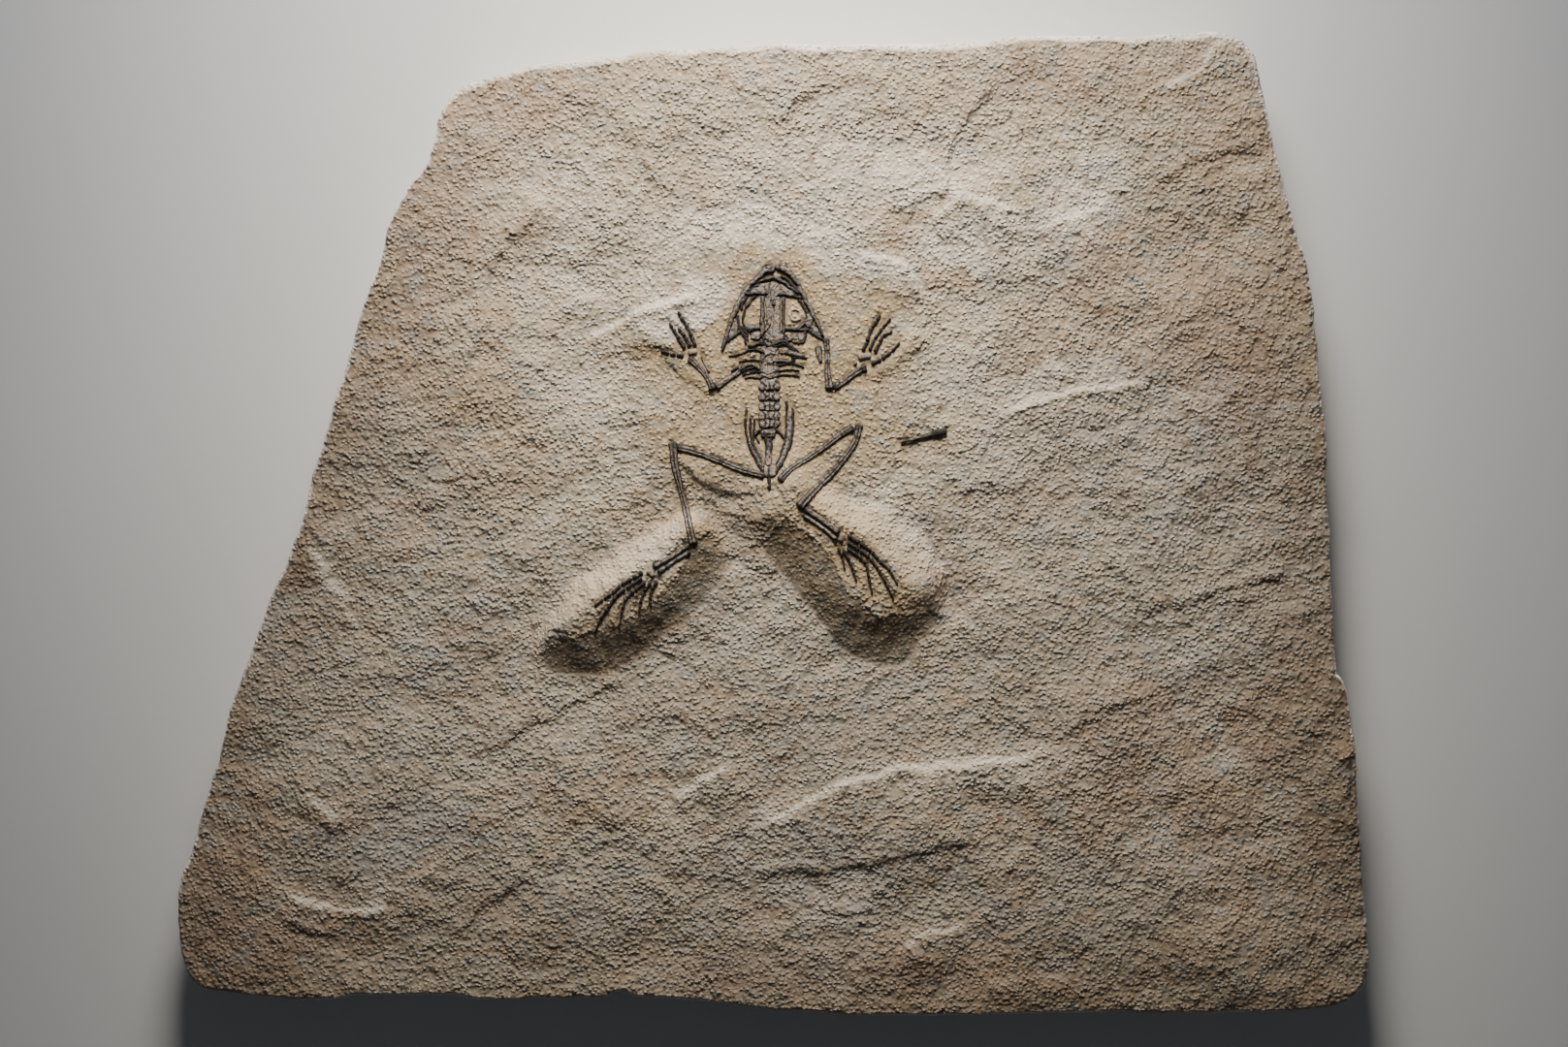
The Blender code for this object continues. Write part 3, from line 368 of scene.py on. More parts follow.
# Stations of the long bones, and of the digits from the palm or sole to the tip.
LIMB_BONES = {name: runs(3, stations) for name, *stations in [
    ("rib_left", -124, 616, 4, -94, 623, 5, -69, 626, 4),
    ("suprascapula_right", 44, 708, 5, 72, 702, 9.3, 102, 696, 6.8, 132, 688, 3.1),
    ("scapula_right", 184, 734, 10, 187, 708, 14, 192, 682, 8, 196, 660, 4),
    ("humerus_left", -126, 642, 9, -144, 624, 11, -174, 604, 10, -198, 588, 12, -228, 569, 17),
    ("radioulna_left", -254, 562, 15, -270, 598, 12, -296, 632, 11, -338, 674, 14),
    ("ulna_splint_left", -262, 620, 4, -284, 664, 5, -298, 692, 4),
    ("carpus_left", -354, 703, 10, -334, 707, 12, -312, 710, 9),
    ("humerus_right", 218, 750, 12, 223, 700, 12, 223, 640, 12, 227, 594, 15, 230, 566, 17),
    ("radioulna_right", 260, 566, 16, 292, 588, 14, 330, 618, 14, 370, 640, 16),
    ("wrist_splint_right", 330, 649, 4, 346, 662, 5),
    ("carpus_right", 348, 684, 10, 376, 690, 13, 404, 692, 10),
    ("femur_left", -374, 310, 16, -338, 300, 14, -286, 284, 13, -238, 264, 13, -142, 226, 13, -94, 212,
     14, -58, 203, 12),
    ("tibiofibula_left", -414, 326, 17, -406, 240, 16, -390, 172, 13, -376, 110, 12, -358, 44, 15, -346,
     -10, 16, -330, -80, 16),
    ("tibiale_left", -356, -94, 10, -406, -127, 9, -442, -150, 9, -484, -172, 11),
    ("fibulare_left", -350, -119, 8, -390, -143, 7, -430, -170, 7, -464, -193, 9),
    ("tarsus_left", -516, -189, 8, -504, -203, 11, -488, -218, 8),
    ("femur_right", 38, 188, 17, 70, 222, 14, 146, 272, 13, 218, 322, 13, 270, 362, 14, 313, 389, 16),
    ("tibiofibula_right", 352, 398, 15, 338, 338, 15, 290, 268, 14, 238, 204, 14, 178, 146, 15, 112, 74,
     19),
    ("tibiale_right", 139, 57, 11, 206, 12, 11, 262, -30, 12),
    ("fibulare_right", 132, 30, 7, 204, -18, 7, 253, -60, 8),
    ("tarsus_right", 282, -39, 8, 280, -58, 10, 272, -76, 8),
    ("loose_bone", 522, 336, 3.5, 570, 344, 4.5, 610, 354, 5, 646, 363, 7, 672, 373, 15, 696, 379, 14,
     712, 382, 10, 718, 384, 5),
]}

DIGITS = {name: runs(3, stations) for name, *stations in [
    ("finger_left_1", -322, 729, 6, -336, 770, 5, -360, 822, 5, -382, 854, 5, -394, 876, 3),
    ("finger_left_2", -342, 728, 6, -362, 770, 5, -393, 806, 4),
    ("finger_left_3", -364, 720, 6, -387, 759, 5, -414, 804, 5, -430, 828, 3),
    ("finger_left_4", -368, 692, 5, -400, 695, 4, -428, 703, 4, -466, 713, 3),
    ("finger_right_1", 368, 710, 6, 386, 750, 5, 404, 808, 5, 426, 836, 5, 442, 864, 3),
    ("finger_right_2", 395, 712, 5, 416, 760, 4, 450, 808, 4, 486, 848, 3),
    ("finger_right_3", 418, 704, 6, 437, 746, 5, 450, 773, 5, 492, 794, 3),
    ("finger_right_4", 402, 656, 5, 446, 678, 5, 486, 708, 4, 522, 748, 3),
    ("toe_left_1", -534, -198, 8, -578, -225, 7, -624, -252, 7, -662, -288, 6, -696, -309, 5, -734,
     -340, 3),
    ("toe_left_2", -536, -222, 7, -604, -266, 6, -644, -296, 6, -678, -348, 6, -712, -396, 5, -734,
     -452, 3),
    ("toe_left_3", -522, -238, 6, -568, -274, 6, -604, -302, 5, -619, -354, 5, -634, -428, 3),
    ("toe_left_4", -500, -238, 6, -532, -280, 6, -546, -330, 5, -550, -370, 3),
    ("toe_left_5", -476, -232, 6, -500, -274, 6, -505, -316, 5, -502, -348, 3),
    ("toe_right_1", 304, -49, 8, 354, -80, 8, 402, -112, 7, 432, -148, 6, 482, -196, 5, 510, -252, 3),
    ("toe_right_2", 302, -75, 7, 354, -108, 7, 396, -140, 6, 430, -186, 5, 464, -248, 5, 494, -312, 3),
    ("toe_right_3", 300, -99, 6, 350, -133, 6, 382, -166, 5, 392, -224, 5, 406, -292, 3),
    ("toe_right_4", 284, -106, 6, 314, -154, 5, 328, -194, 5, 342, -238, 3),
    ("toe_right_5", 265, -98, 5, 284, -140, 4, 294, -192, 3),
]}

# Bones grown together: height and stations of each ridge or plate. A height below 0 is a groove.
SKULL = [(height, runs(3, stations)) for height, *stations in [
    (1.5, -36, 1042, 13, -17, 1051, 21, -1, 1060, 16),
    (1.5, 19, 1056, 12, 38, 1054, 21, 56, 1044, 17),
    (0.9, -30, 1040, 12, -46, 1026, 10),
    (0.9, 50, 1040, 12, 64, 1026, 10),
    (1.25, -43, 1032, 11, -72, 1008, 12, -99, 982, 12, -120, 952, 13, -136, 925, 13, -152, 895, 12,
     -163, 865, 11, -176, 830, 10, -188, 796, 11, -198, 759, 9, -210, 716, 6),
    (0.8, -58, 996, 5, -84, 972, 6, -106, 946, 6, -122, 916, 6, -134, 884, 5),
    (1.25, 60, 1034, 10, 82, 1014, 11, 102, 988, 11, 121, 946, 11, 136, 914, 11, 154, 884, 11, 168, 852,
     10, 188, 814, 9, 207, 772, 5),
    (0.8, 34, 1018, 5, 56, 1006, 6, 74, 990, 6, 90, 972, 6, 104, 958, 5),
    (1, 1, 1014, 8, -26, 1010, 9, -48, 998, 8, -73, 978, 7),
    (1, 1, 1014, 8, 22, 1007, 9, 44, 993, 8, 71, 971, 7, 101, 954, 6),
    (0.45, -86, 962, 20, -54, 974, 26, -26, 976, 24),
    (0.45, 6, 978, 26, 38, 973, 26, 74, 955, 18),
    (0.85, -113, 946, 5, -90, 947, 6, -59, 950, 6, -30, 948, 6),
    (0.85, 22, 946, 6, 52, 946, 6, 83, 939, 6, 112, 930, 5),
    (0.8, -70, 944, 5, -88, 928, 6, -104, 908, 8, -117, 888, 5),
    (0.8, -117, 888, 5, -124, 860, 5.5, -125, 830, 5.5, -113, 802, 5.5, -96, 791, 6),
    (0.85, -113, 808, 6, -92, 798, 6, -74, 803, 6, -50, 806, 6),
    (0.7, -146, 856, 6, -145, 824, 6, -135, 794, 6, -122, 774, 6, -113, 744, 5),
    (0.6, -132, 812, 5, -112, 785, 5, -104, 758, 5),
    (0.5, -156, 836, 14, -164, 802, 18, -178, 774, 12),
    (0.75, -140, 790, 5, -163, 773, 5, -188, 754, 5),
    (1.05, -44, 946, 10, -45, 888, 9.5, -46, 828, 9.5, -44, 770, 11),
    (0.55, -21, 946, 13, -20, 888, 14, -22, 836, 14, -26, 792, 13),
    (0.6, 17, 944, 14, 18, 888, 15, 17, 832, 16, 16, 776, 16),
    (0.95, 41, 946, 8, 40, 888, 7.5, 41, 832, 7.5, 43, 788, 9),
    (0.95, -4, 954, 11, 0, 927, 13, -1, 906, 8),
    (0.75, 104, 926, 5, 120, 902, 6, 136, 876, 6, 148, 856, 6),
    (1.15, 144, 858, 11, 148, 838, 16, 145, 818, 13),
    (0.9, 136, 834, 9, 118, 818, 9, 104, 805, 8),
    (0.85, 136, 802, 8, 110, 798, 7, 84, 800, 7, 54, 806, 8),
    (0.65, 132, 796, 5, 134, 772, 5.5, 128, 750, 5.5, 108, 743, 5, 78, 748, 4),
    (0.3, 90, 774, 16, 116, 772, 17),
    (0.5, 156, 816, 12, 172, 798, 15, 192, 781, 8),
    (0.8, 141, 802, 6, 176, 774, 6, 206, 760, 5),
    (0.75, -80, 774, 16, -63, 774, 19, -47, 764, 14),
    (0.75, 50, 770, 14, 64, 774, 17, 65, 758, 12),
    (0.6, -30, 778, 12, -15, 765, 17, -4, 756, 13),
    (0.6, 8, 760, 13, 24, 768, 17, 37, 772, 12),
    (0.9, -103, 735, 5, -79, 731, 5.5, -59, 746, 6, -39, 748, 5.5, -24, 734, 6, 1, 738, 6, 24, 750, 6,
     46, 752, 5.5, 64, 736, 5),
    (0.85, 64, 736, 5.5, 80, 722, 6, 98, 714, 5),
    (0.45, -4, 940, 14, -4, 784, 14),
    (1.6, -30, 1064, 6, -10, 1066, 6),
    (1.6, 25, 1062, 6, 46, 1060, 6),
    (1.5, -30, 1054, 6, -8, 1054, 6),
    (1.5, 26, 1052, 6, 48, 1050, 6),
    (-1.6, 7, 1076, 3.5, 7, 1062, 4),
    (-0.8, 1, 899, 3.5, -1, 859, 4, -6, 819, 4, -33, 782, 5, -49, 765, 6),
    (-0.6, -32, 940, 3, -32, 880, 3.5, -33, 810, 3),
    (-0.6, 31, 940, 3, 32, 880, 3.5, 32, 800, 3),
    (-0.8, -110, 940, 3, -60, 942, 4, -24, 942, 4),
    (-0.8, 20, 940, 4, 60, 938, 4, 106, 926, 3),
    (-0.7, -94, 968, 3, -64, 988, 3.5, -26, 999, 4, 2, 1002, 4, 34, 988, 3.5, 70, 964, 3),
    (-0.6, -16, 988, 3, -20, 966, 4, -14, 948, 3),
    (-0.6, 9, 1056, 3.5, 3, 1036, 4, -10, 1026, 3),
    (-0.5, -106, 776, 3, -78, 796, 3.5, -54, 792, 3.5),
    (-0.5, -66, 754, 3.5, -52, 766, 5, -42, 752, 4),
    (-0.5, 42, 758, 3.5, 49, 776, 4.5, 60, 762, 3.5),
]]

# A cast of stone in the right eye socket.
ORBIT_RING = [(0.5, runs(3, [
    114, 861, 5, 107, 844, 5, 91, 838, 5, 74, 844, 5, 68, 861, 5, 74, 877, 5, 91, 884, 5, 107, 877, 5,
    114, 861, 5,
]))]

# Trunk bones: height, half width and points of each ridge or plate.
TRUNK = {name: [(height, runs(2, line, half)) for height, half, *line in strokes]
         for name, strokes in {
    "vertebra_1": [
        (0.72, 0.34, -182, 692, -150, 694, -126, 704, -106, 717, -70, 716, -38, 708),
        (0.79, 0.36, -54, 740, -34, 736, -10, 732, 18, 734, 38, 742, 58, 736, 74, 720, 102, 708),
        (0.5, 4, -16, 712, -16, 684),
        (0.86, 0.34, -46, 676, -30, 696, -14, 707, 10, 696),
        (0.43, 1, 34, 708, 74, 708, 106, 698),
        (-0.9, 0.35, -48, 704, -42, 684),
        (-0.9, 0.35, 18, 712, 10, 688),
        (-0.9, 0.3, -30, 682, -14, 692, 6, 682),
        (0.68, 0.3, 74, 682, 106, 684, 138, 682),
    ],
    "vertebra_2": [
        (0.68, 0.3, -142, 664, -118, 674, -94, 676, -58, 674, -34, 664),
        (0.5, 4.2, -16, 672, -16, 636),
        (0.86, 0.34, -30, 672, -10, 662, 10, 670, 30, 670, 58, 664, 90, 673),
        (-0.9, 0.3, -52, 672, -40, 652, -50, 636),
        (-0.9, 0.3, 20, 660, 12, 640),
        (-1, 0.3, -38, 644, -18, 654, 6, 646),
        (0.68, 0.3, 18, 652, 46, 658, 74, 659, 98, 655, 126, 644),
    ],
    "vertebra_3": [
        (0.68, 0.3, -126, 612, -102, 626, -78, 633, -46, 624),
        (0.61, 0.3, -118, 600, -86, 606, -50, 600),
        (0.5, 4.2, -16, 628, -16, 596),
        (0.83, 0.34, -50, 626, -30, 616, -6, 620, 18, 630),
        (-1, 0.3, -52, 594, -34, 603, -14, 595, 6, 603, 26, 594),
        (0.68, 0.3, 14, 628, 54, 636, 82, 636, 106, 632),
        (0.68, 0.3, 18, 608, 42, 614, 82, 612, 106, 604),
    ],
    "sacrum": [
        (0.9, 1.2, -42, 378, -20, 376, 0, 378),
        (1, 0.6, -44, 364, -20, 358, 4, 364),
        (0.85, 0.5, -46, 388, -60, 380, -76, 362),
        (0.5, 0.4, -76, 362, -56, 336),
        (0.85, 0.5, 6, 394, 24, 378, 44, 356),
    ],
    "urostyle": [
        (1, 0.5, -30, 372, -29, 328, -28, 280),
        (0.95, 0.5, -8, 372, -8, 328, -10, 280),
        (0.45, 1, -19, 368, -19, 280),
        (1.1, 1.5, -20, 288, -19, 248),
    ],
    "ischium": [
        (0.75, 1.7, -28, 230, -24, 208),
        (0.75, 1.7, 0, 230, -4, 208),
        (1.1, 0.6, -16, 228, -15, 196, -16, 168),
        (0.8, 0.8, -16, 184, -17, 156, -18, 144),
    ],
    "ilium_left": [
        (1, 0.55, -113, 468, -114, 416, -111, 368, -103, 330, -86, 290, -66, 250, -48, 216),
        (0.85, 0.5, -95, 432, -94, 376, -88, 336, -70, 296, -50, 252),
        (0.75, 0.45, -80, 428, -81, 368, -79, 316),
        (0.5, 1.3, -82, 312, -64, 278, -48, 244),
    ],
    "ilium_right": [
        (1, 0.6, 79, 472, 80, 416, 77, 368, 68, 324, 54, 284, 34, 248, 13, 214),
        (0.9, 0.5, 53, 500, 53, 432, 52, 368, 44, 320, 31, 280, 16, 248),
        (0.55, 1.3, 65, 432, 64, 368, 56, 320, 36, 274, 21, 242),
    ],
    "clavicle_left": [
        (0.95, 0.5, -162, 608, -138, 632, -110, 650, -86, 652, -58, 636),
        (0.7, 0.45, -170, 630, -146, 642),
        (0.8, 0.45, -126, 626, -106, 638, -80, 642),
    ],
}.items()}


def smooth(t):
    """0 below 0, 1 above 1, and an even S between."""
    t = np.clip(t, 0.0, 1.0)
    return t * t * (3.0 - 2.0 * t)


def beyond(values, start, fade):
    """0 up to a start, and rising to 1 over the fade."""
    return smooth((values - start) / fade)


def hills(x, y, cell, seed, cells=NOISE_CELLS):
    """Smooth random hills about one cell across, between -1 and 1."""
    grid = np.random.default_rng(seed).uniform(-1.0, 1.0, (cells, cells))
    u = x / cell + cells / 2
    v = y / cell + cells / 2
    column = np.floor(u).astype(int)
    row = np.floor(v).astype(int)
    right = smooth(u - column)
    up = smooth(v - row)
    column %= cells
    row %= cells
    next_column = (column + 1) % cells
    next_row = (row + 1) % cells
    low = grid[row, column] * (1 - right) + grid[row, next_column] * right
    high = grid[next_row, column] * (1 - right) + grid[next_row, next_column] * right
    return low * (1 - up) + high * up


def grain(x, y, cell, seed):
    """Random hills that take longer to repeat."""
    return hills(x, y, cell, seed, FINE_NOISE_CELLS)


def layered(x, y, layers):
    """Random hills of several sizes added up, from (height, length along x, length along y, cell,
    seed) of each."""
    return sum(height * grain(x / long, y / wide, cell, seed)
               for height, long, wide, cell, seed in layers)


def warped(x, y, amount, cell, seed):
    """The same places, each pushed a little to one side, so that straight lines come out ragged."""
    dx = grain(x, y, cell, seed) + 0.5 * grain(x, y, cell * 0.4, seed + 1)
    dy = grain(x, y, cell, seed + 2) + 0.5 * grain(x, y, cell * 0.4, seed + 3)
    return x + amount * dx, y + amount * dy


def offset_from_line(x, y, line):
    """(signed distance, how far along from 0 to 1) to a line of points, positive on its left."""
    nearest = np.full(np.shape(x), np.inf)
    signed = np.zeros(np.shape(x))
    along = np.zeros(np.shape(x))
    lengths = [math.dist(a[:2], b[:2]) for a, b in zip(line, line[1:])]
    total = sum(lengths)
    before = 0.0
    for (ax, ay), (bx, by), length in zip(line, line[1:], lengths):
        dx = (bx - ax) / length
        dy = (by - ay) / length
        run = np.clip((x - ax) * dx + (y - ay) * dy, 0.0, length)
        distance = np.hypot(x - ax - run * dx, y - ay - run * dy)
        left = np.where((y - ay) * dx - (x - ax) * dy >= 0, 1.0, -1.0)
        closer = distance < nearest
        nearest = np.where(closer, distance, nearest)
        signed = np.where(closer, distance * left, signed)
        along = np.where(closer, (before + run) / total, along)
        before += length
    return signed, along


def ledge_height(x, y, ledge):
    """(height, side, mark) of a step with a crisp upper edge that drops on the right of its line and
    dies away on the left. The side is how far a point lies to the left of the edge; the mark is
    above 0 along a step that faces the head and below 0 along others. The stone's finish paints
    a highlight along the first and shade along the others."""
    drop, half_width, reach, line = ledge
    run = math.dist(line[0], line[-1])
    facing = (line[0][0] - line[-1][0]) / run
    faces_tail = facing < 0
    drop = drop * (SHADOW_DROP_SHARE if faces_tail else LEDGE_DROP_SHARE)
    half_width = half_width * (SHADOW_CRISPNESS if faces_tail else LEDGE_CRISPNESS)
    signed, along = offset_from_line(x, y, line)
    step = np.clip(signed / (2 * half_width) + 0.5, 0.0, 1.0) ** LEDGE_FOOT
    ends = smooth(LEDGE_TAPER * np.minimum(along, 1 - along))
    height = drop * ends * step * (1 - smooth(np.abs(signed) / reach))
    return height, signed, facing * ends


def mound_frame(x, y, mound):
    """(along, across) the mound, and its three profiles there."""
    turn = math.radians(mound["heading"])
    dx = x - mound["origin"][0]
    dy = y - mound["origin"][1]
    u = dx * math.cos(turn) + dy * math.sin(turn)
    v = (dy * math.cos(turn) - dx * math.sin(turn)) * mound["side"]
    profiles = [np.interp(u, mound[name][::2], mound[name][1::2])
                for name in ("upper", "crest", "lower")]
    return u, v, profiles


def mound_height(x, y, mound):
    """(height, share of scraped ground, share carved) of a long mound, rounded up to the crest and
    steep beyond. Carved is above 0 on the lit bevel and below 0 on the steep flank, which the
    stone's finish darkens as painted shade."""
    u, v, (upper, crest, lower) = mound_frame(x, y, mound)
    lit = np.clip((upper - v) / (upper - crest), 0.0, 1.0)
    steep = np.clip((v - lower) / (crest - lower), 0.0, 1.0)
    rise = np.minimum(lit / MOUND_TOP, 1)
    rise = 0.4 * smooth(rise) + 0.6 * np.sin(rise * math.pi / 2)
    top = rise - MOUND_TILT * smooth((lit - MOUND_TOP) / (1 - MOUND_TOP))
    flank = np.where(v > crest, top, (1 - MOUND_TILT) * (0.8 * steep + 0.2 * smooth(steep)))
    start, end = mound["span"]
    start_ramp, end_ramp = mound["ramps"]
    ends = beyond(u, start, start_ramp) * smooth((end - u) / end_ramp)
    bevel = smooth(lit / MOUND_FOOT) * (1 - beyond(lit, BEVEL_TOP, BEVEL_FADE))
    below = smooth(steep / SCRAPED_FOOT) * (1 - beyond(steep, SCRAPED_TOP, SCRAPED_FADE))
    scraped = np.where(v > crest, bevel, below)
    scratches = grain(u + 0.25 * v, 0.2 * v, 2.2, 81) + 0.6 * grain(u - 0.1 * v, 0.16 * v, 4.3, 82)
    height = mound["height"] * ends * flank + SCRATCH_HEIGHT * scratches * scraped * ends
    stripes = np.clip(0.6 + 0.8 * grain(u + 0.3 * v, 0.12 * v, STRIPE_CELL, 83), 0, 1)
    # The shown stretch bounds the scraped share, the bevel's tint and the flank's painted shade.
    first, last = mound["shown"]
    shown = beyond(u, first, 3) * smooth((last - u) / 4)
    carved = np.where(v > crest, bevel * stripes, -smooth(steep / MOUND_FOOT))
    return height, scraped * shown, carved * shown


def bed_share(x, y):
    """1 on the level ground around the trunk, falling to 0 outside it."""
    (cx, cy), (rx, ry) = BED["middle"], BED["reach"]
    radius = (np.abs((x - cx) / rx) ** 3 + np.abs((y - cy) / ry) ** 3) ** (1 / 3)
    return 1 - beyond(radius, BED["flat"], BED["fade"])


def ripple_height(x, y):
    """Ripples on a slant, stronger towards the right of the slab."""
    share = smooth(x / (2 * SLAB_HALF_LENGTH) + 0.5)
    height = RIPPLES["left"] + (RIPPLES["right"] - RIPPLES["left"]) * share
    return height * hills(0.9 * x + 0.4 * y, 1.6 * y - 0.7 * x, RIPPLES["cell"], RIPPLES["seed"])


def laminae(x, y):
    """(height, share of broken edge, tone) of the thin layers that the face has split along."""
    u, v = warped(x, y, 4.5, 21.0, 131)
    layers = layered(u, v, LAMINA_LAYERS)
    whole = np.floor(layers)
    part = (layers - whole) / LAMINA_EDGE
    return LAMINA * (whole + smooth(part)), 1 - smooth(np.abs(part - 0.4) / 0.8), np.sin(5 * whole)


def face_level(x, y):
    """Height of the slab's face without its fine texture, then the shares of scraped, carved and
    broken ground, the tone of the layer, and the side and mark of the nearest ledge."""
    bed = bed_share(x, y)
    waves = ripple_height(x, y)
    for height, cell, seed in WAVES:
        waves = waves + height * hills(x, y, cell, seed)
    near_x, near_y = warped(x, y, MOUND_WARP, 9.0, 31)
    found = [mound_height(near_x, near_y, mound) for mound in MOUNDS]
    mounds = np.maximum(found[0][0], found[1][0])
    scraped = np.maximum(found[0][1], found[1][1])
    carved = found[0][2] + found[1][2]
    level = SLAB_THICKNESS + BED["height"] * bed + waves * (1 - BED_SMOOTHING * bed)
    level = level + mounds * (1 - MOUND_LOSS_ON_BED * bed)
    ragged_x, ragged_y = warped(x, y, LEDGE_WARP, 7.0, 41)
    side = np.full(np.shape(x), LEDGE_REACH)
    mark = np.zeros(np.shape(x))
    for ledge in LEDGES:
        height, this_side, this_mark = ledge_height(ragged_x, ragged_y, ledge)
        level = level + height
        nearer = np.abs(this_side) < np.abs(side)
        side = np.where(nearer, this_side, side)
        mark = np.where(nearer, this_mark, mark)
    mark = mark * smooth((LEDGE_REACH - np.abs(side)) / 2)
    open_ground = (1 - bed) * (1 - smooth(mounds / OPEN_FROM))
    layer, broken, tone = laminae(x, y)
    rolling = ROLL_HEIGHT * grain(0.9 * x + 0.3 * y, 1.1 * y - 0.4 * x, 25.0, 58)
    bumps = BUMP_HEIGHT * grain(x / 1.3, y, 10.0, 57)
    level = level + open_ground * (layer + rolling) + (1 - 0.6 * bed) * bumps
    return level, scraped, carved, broken * open_ground, tone * open_ground, side, mark


def crumbs(x, y):
    """Rounded crumbs, a little longer up the slab than across it."""
    x, y = warped(x, y, 1.1, 5.0, 51)
    return layered(x, y, CRUMB_LAYERS)


def flakes(x, y):
    """Thin broken layers whose edges climb to the right."""
    turn = math.radians(FLAKE_TURN)
    u = x * math.cos(turn) + y * math.sin(turn)
    v = y * math.cos(turn) - x * math.sin(turn)
    u, v = warped(u, v, 2.0, 9.0, 61)
    layers = layered(u, v, FLAKE_LAYERS)
    whole = np.floor(layers)
    return whole + smooth((layers - whole) / 0.4)


def face_detail(x, y, scraped, near_bone):
    """The fine texture that lies over the face's level."""
    bed = bed_share(x, y)
    lively = (1 - STILL_BED * bed) * (1 - STILL_SCRAPED * scraped) * (1 - STILL_BONE * near_bone)
    right = 0.12 + 0.88 * beyond(x, *FLAKY_RIGHT)
    low_left = beyond(-x, *FLAKY_LEFT) * beyond(-y, *FLAKY_LOW)
    flaky = np.maximum(right, 0.8 * low_left) * (1 - bed)
    return lively * (crumbs(x, y) + FLAKE_HEIGHT * flaky * flakes(x, y)), lively


def distance_to(x, y, lines):
    """Distance to the nearest of the lines."""
    nearest = np.full(np.shape(x), np.inf)
    for line in lines:
        signed, _ = offset_from_line(x, y, [point[:2] for point in line])
        nearest = np.minimum(nearest, np.abs(signed))
    return nearest


def blobs(x, y, patches, seed):
    """Share of a colour that lies in soft patches with ragged borders."""
    x, y = warped(x, y, 7.0, 24.0, seed)
    share = np.zeros(np.shape(x))
    for cx, cy, rx, ry, turn, strength in patches:
        angle = math.radians(turn)
        u = ((x - cx) * math.cos(angle) + (y - cy) * math.sin(angle)) / rx
        v = ((y - cy) * math.cos(angle) - (x - cx) * math.sin(angle)) / ry
        share = np.maximum(share, strength * (1 - smooth(np.hypot(u, v) - 0.35)))
    return share


def smooth_line(points, step):
    """Points about step apart on a smooth curve through the given ones, each (x, y, half width)."""
    points = np.array(points, float)
    padded = np.vstack([2 * points[0] - points[1], points, 2 * points[-1] - points[-2]])
    curve = []
    for a, b, c, d in zip(padded, padded[1:], padded[2:], padded[3:]):
        count = max(1, math.ceil(math.dist(b[:2], c[:2]) / step))
        for t in np.arange(count) / count:
            curve.append(0.5 * (2 * b + (c - a) * t + (2 * a - 5 * b + 4 * c - d) * t ** 2
                                + (3 * b - a - 3 * c + d) * t ** 3))
    return np.array(curve + [points[-1]])


def resampled(line, shares):
    """Points at the given shares of a line's length."""
    line = np.array(line, float)
    lengths = np.hypot(*np.diff(line, axis=0).T)
    along = np.concatenate([[0], np.cumsum(lengths)])
    places = np.array(shares) * along[-1]
    return np.stack([np.interp(places, along, line[:, k]) for k in range(2)], axis=1)


def crowded(count):
    """Shares from 0 to 1, closer together in the middle."""
    even = np.linspace(0, 1, count + 1)
    return even + CROWDING / math.tau * np.sin(math.tau * even)


def inset(loop, amounts):
    """A closed clockwise loop of points moved inwards."""
    along = np.roll(loop, -1, axis=0) - np.roll(loop, 1, axis=0)
    along /= np.hypot(*along.T)[:, None]
    right = np.stack([along[:, 1], -along[:, 0]], axis=1)
    return loop + right * np.reshape(amounts, (-1, 1))


def add_piece(name, points, faces, finish, replaced, shares):
    """A mesh piece from points in millimetres, with a named share stored at each point."""
    mesh = bpy.data.meshes.new(name)
    mesh.from_pydata((np.asarray(points) * MM).tolist(), [], faces)
    mesh.shade_smooth()
    for share_name, values in shares.items():
        layer = mesh.attributes.new(share_name, "FLOAT", "POINT")
        layer.data.foreach_set("value", np.asarray(values, np.float32))
    mesh.materials.append(finish)
    piece = bpy.data.objects.new(name, mesh)
    bpy.context.scene.collection.objects.link(piece)
    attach(piece, "root")
    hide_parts(*replaced)
    return piece


def slab_sides():
    """The four sides of the outline, each from corner to corner: top, right, bottom and left."""
    loop = [tuple(point[:2]) for point in smooth_line([(*p, 0) for p in OUTLINE + OUTLINE[:1]], 2.0)]
    corners = [min(range(len(loop)), key=lambda i: math.dist(loop[i], corner))
               for corner in SLAB_CORNERS]
    loop = loop[corners[0]:] + loop[:corners[0]]
    marks = [(i - corners[0]) % len(loop) for i in corners] + [len(loop)]
    loop.append(loop[0])
    return [loop[a:b + 1] for a, b in zip(marks, marks[1:])]


def slab_loop():
    """The outline, clockwise from the upper left corner, a point for each cell of the face."""
    points = []
    for side, count in zip(slab_sides(), (CELLS_ACROSS, CELLS_UP) * 2):
        points.append(resampled(side, crowded(count))[:-1])
    return np.vstack(points)


def patch_between(loop):
    """A grid of points spanned between the four sides of a loop, rows from top to bottom."""
    m, n = CELLS_ACROSS, CELLS_UP
    closed = np.vstack([loop, loop[:1]])
    top = closed[:m + 1]
    right = closed[m:m + n + 1]
    bottom = closed[m + n:2 * m + n + 1][::-1]
    left = closed[2 * m + n:][::-1]
    s = crowded(m)[None, :, None]
    t = crowded(n)[:, None, None]
    between_rows = (1 - t) * top[None] + t * bottom[None]
    between_columns = (1 - s) * left[:, None] + s * right[:, None]
    corners = ((1 - t) * ((1 - s) * top[0] + s * top[-1])
               + t * ((1 - s) * bottom[0] + s * bottom[-1]))
    return between_rows + between_columns - corners


def border_indices():
    """Indices of the face grid's border, in the order of the outline."""
    m, n = CELLS_ACROSS, CELLS_UP
    grid = np.arange((m + 1) * (n + 1)).reshape(n + 1, m + 1)
    return np.concatenate([grid[0, :-1], grid[:-1, -1], grid[-1, :0:-1], grid[:0:-1, 0]])


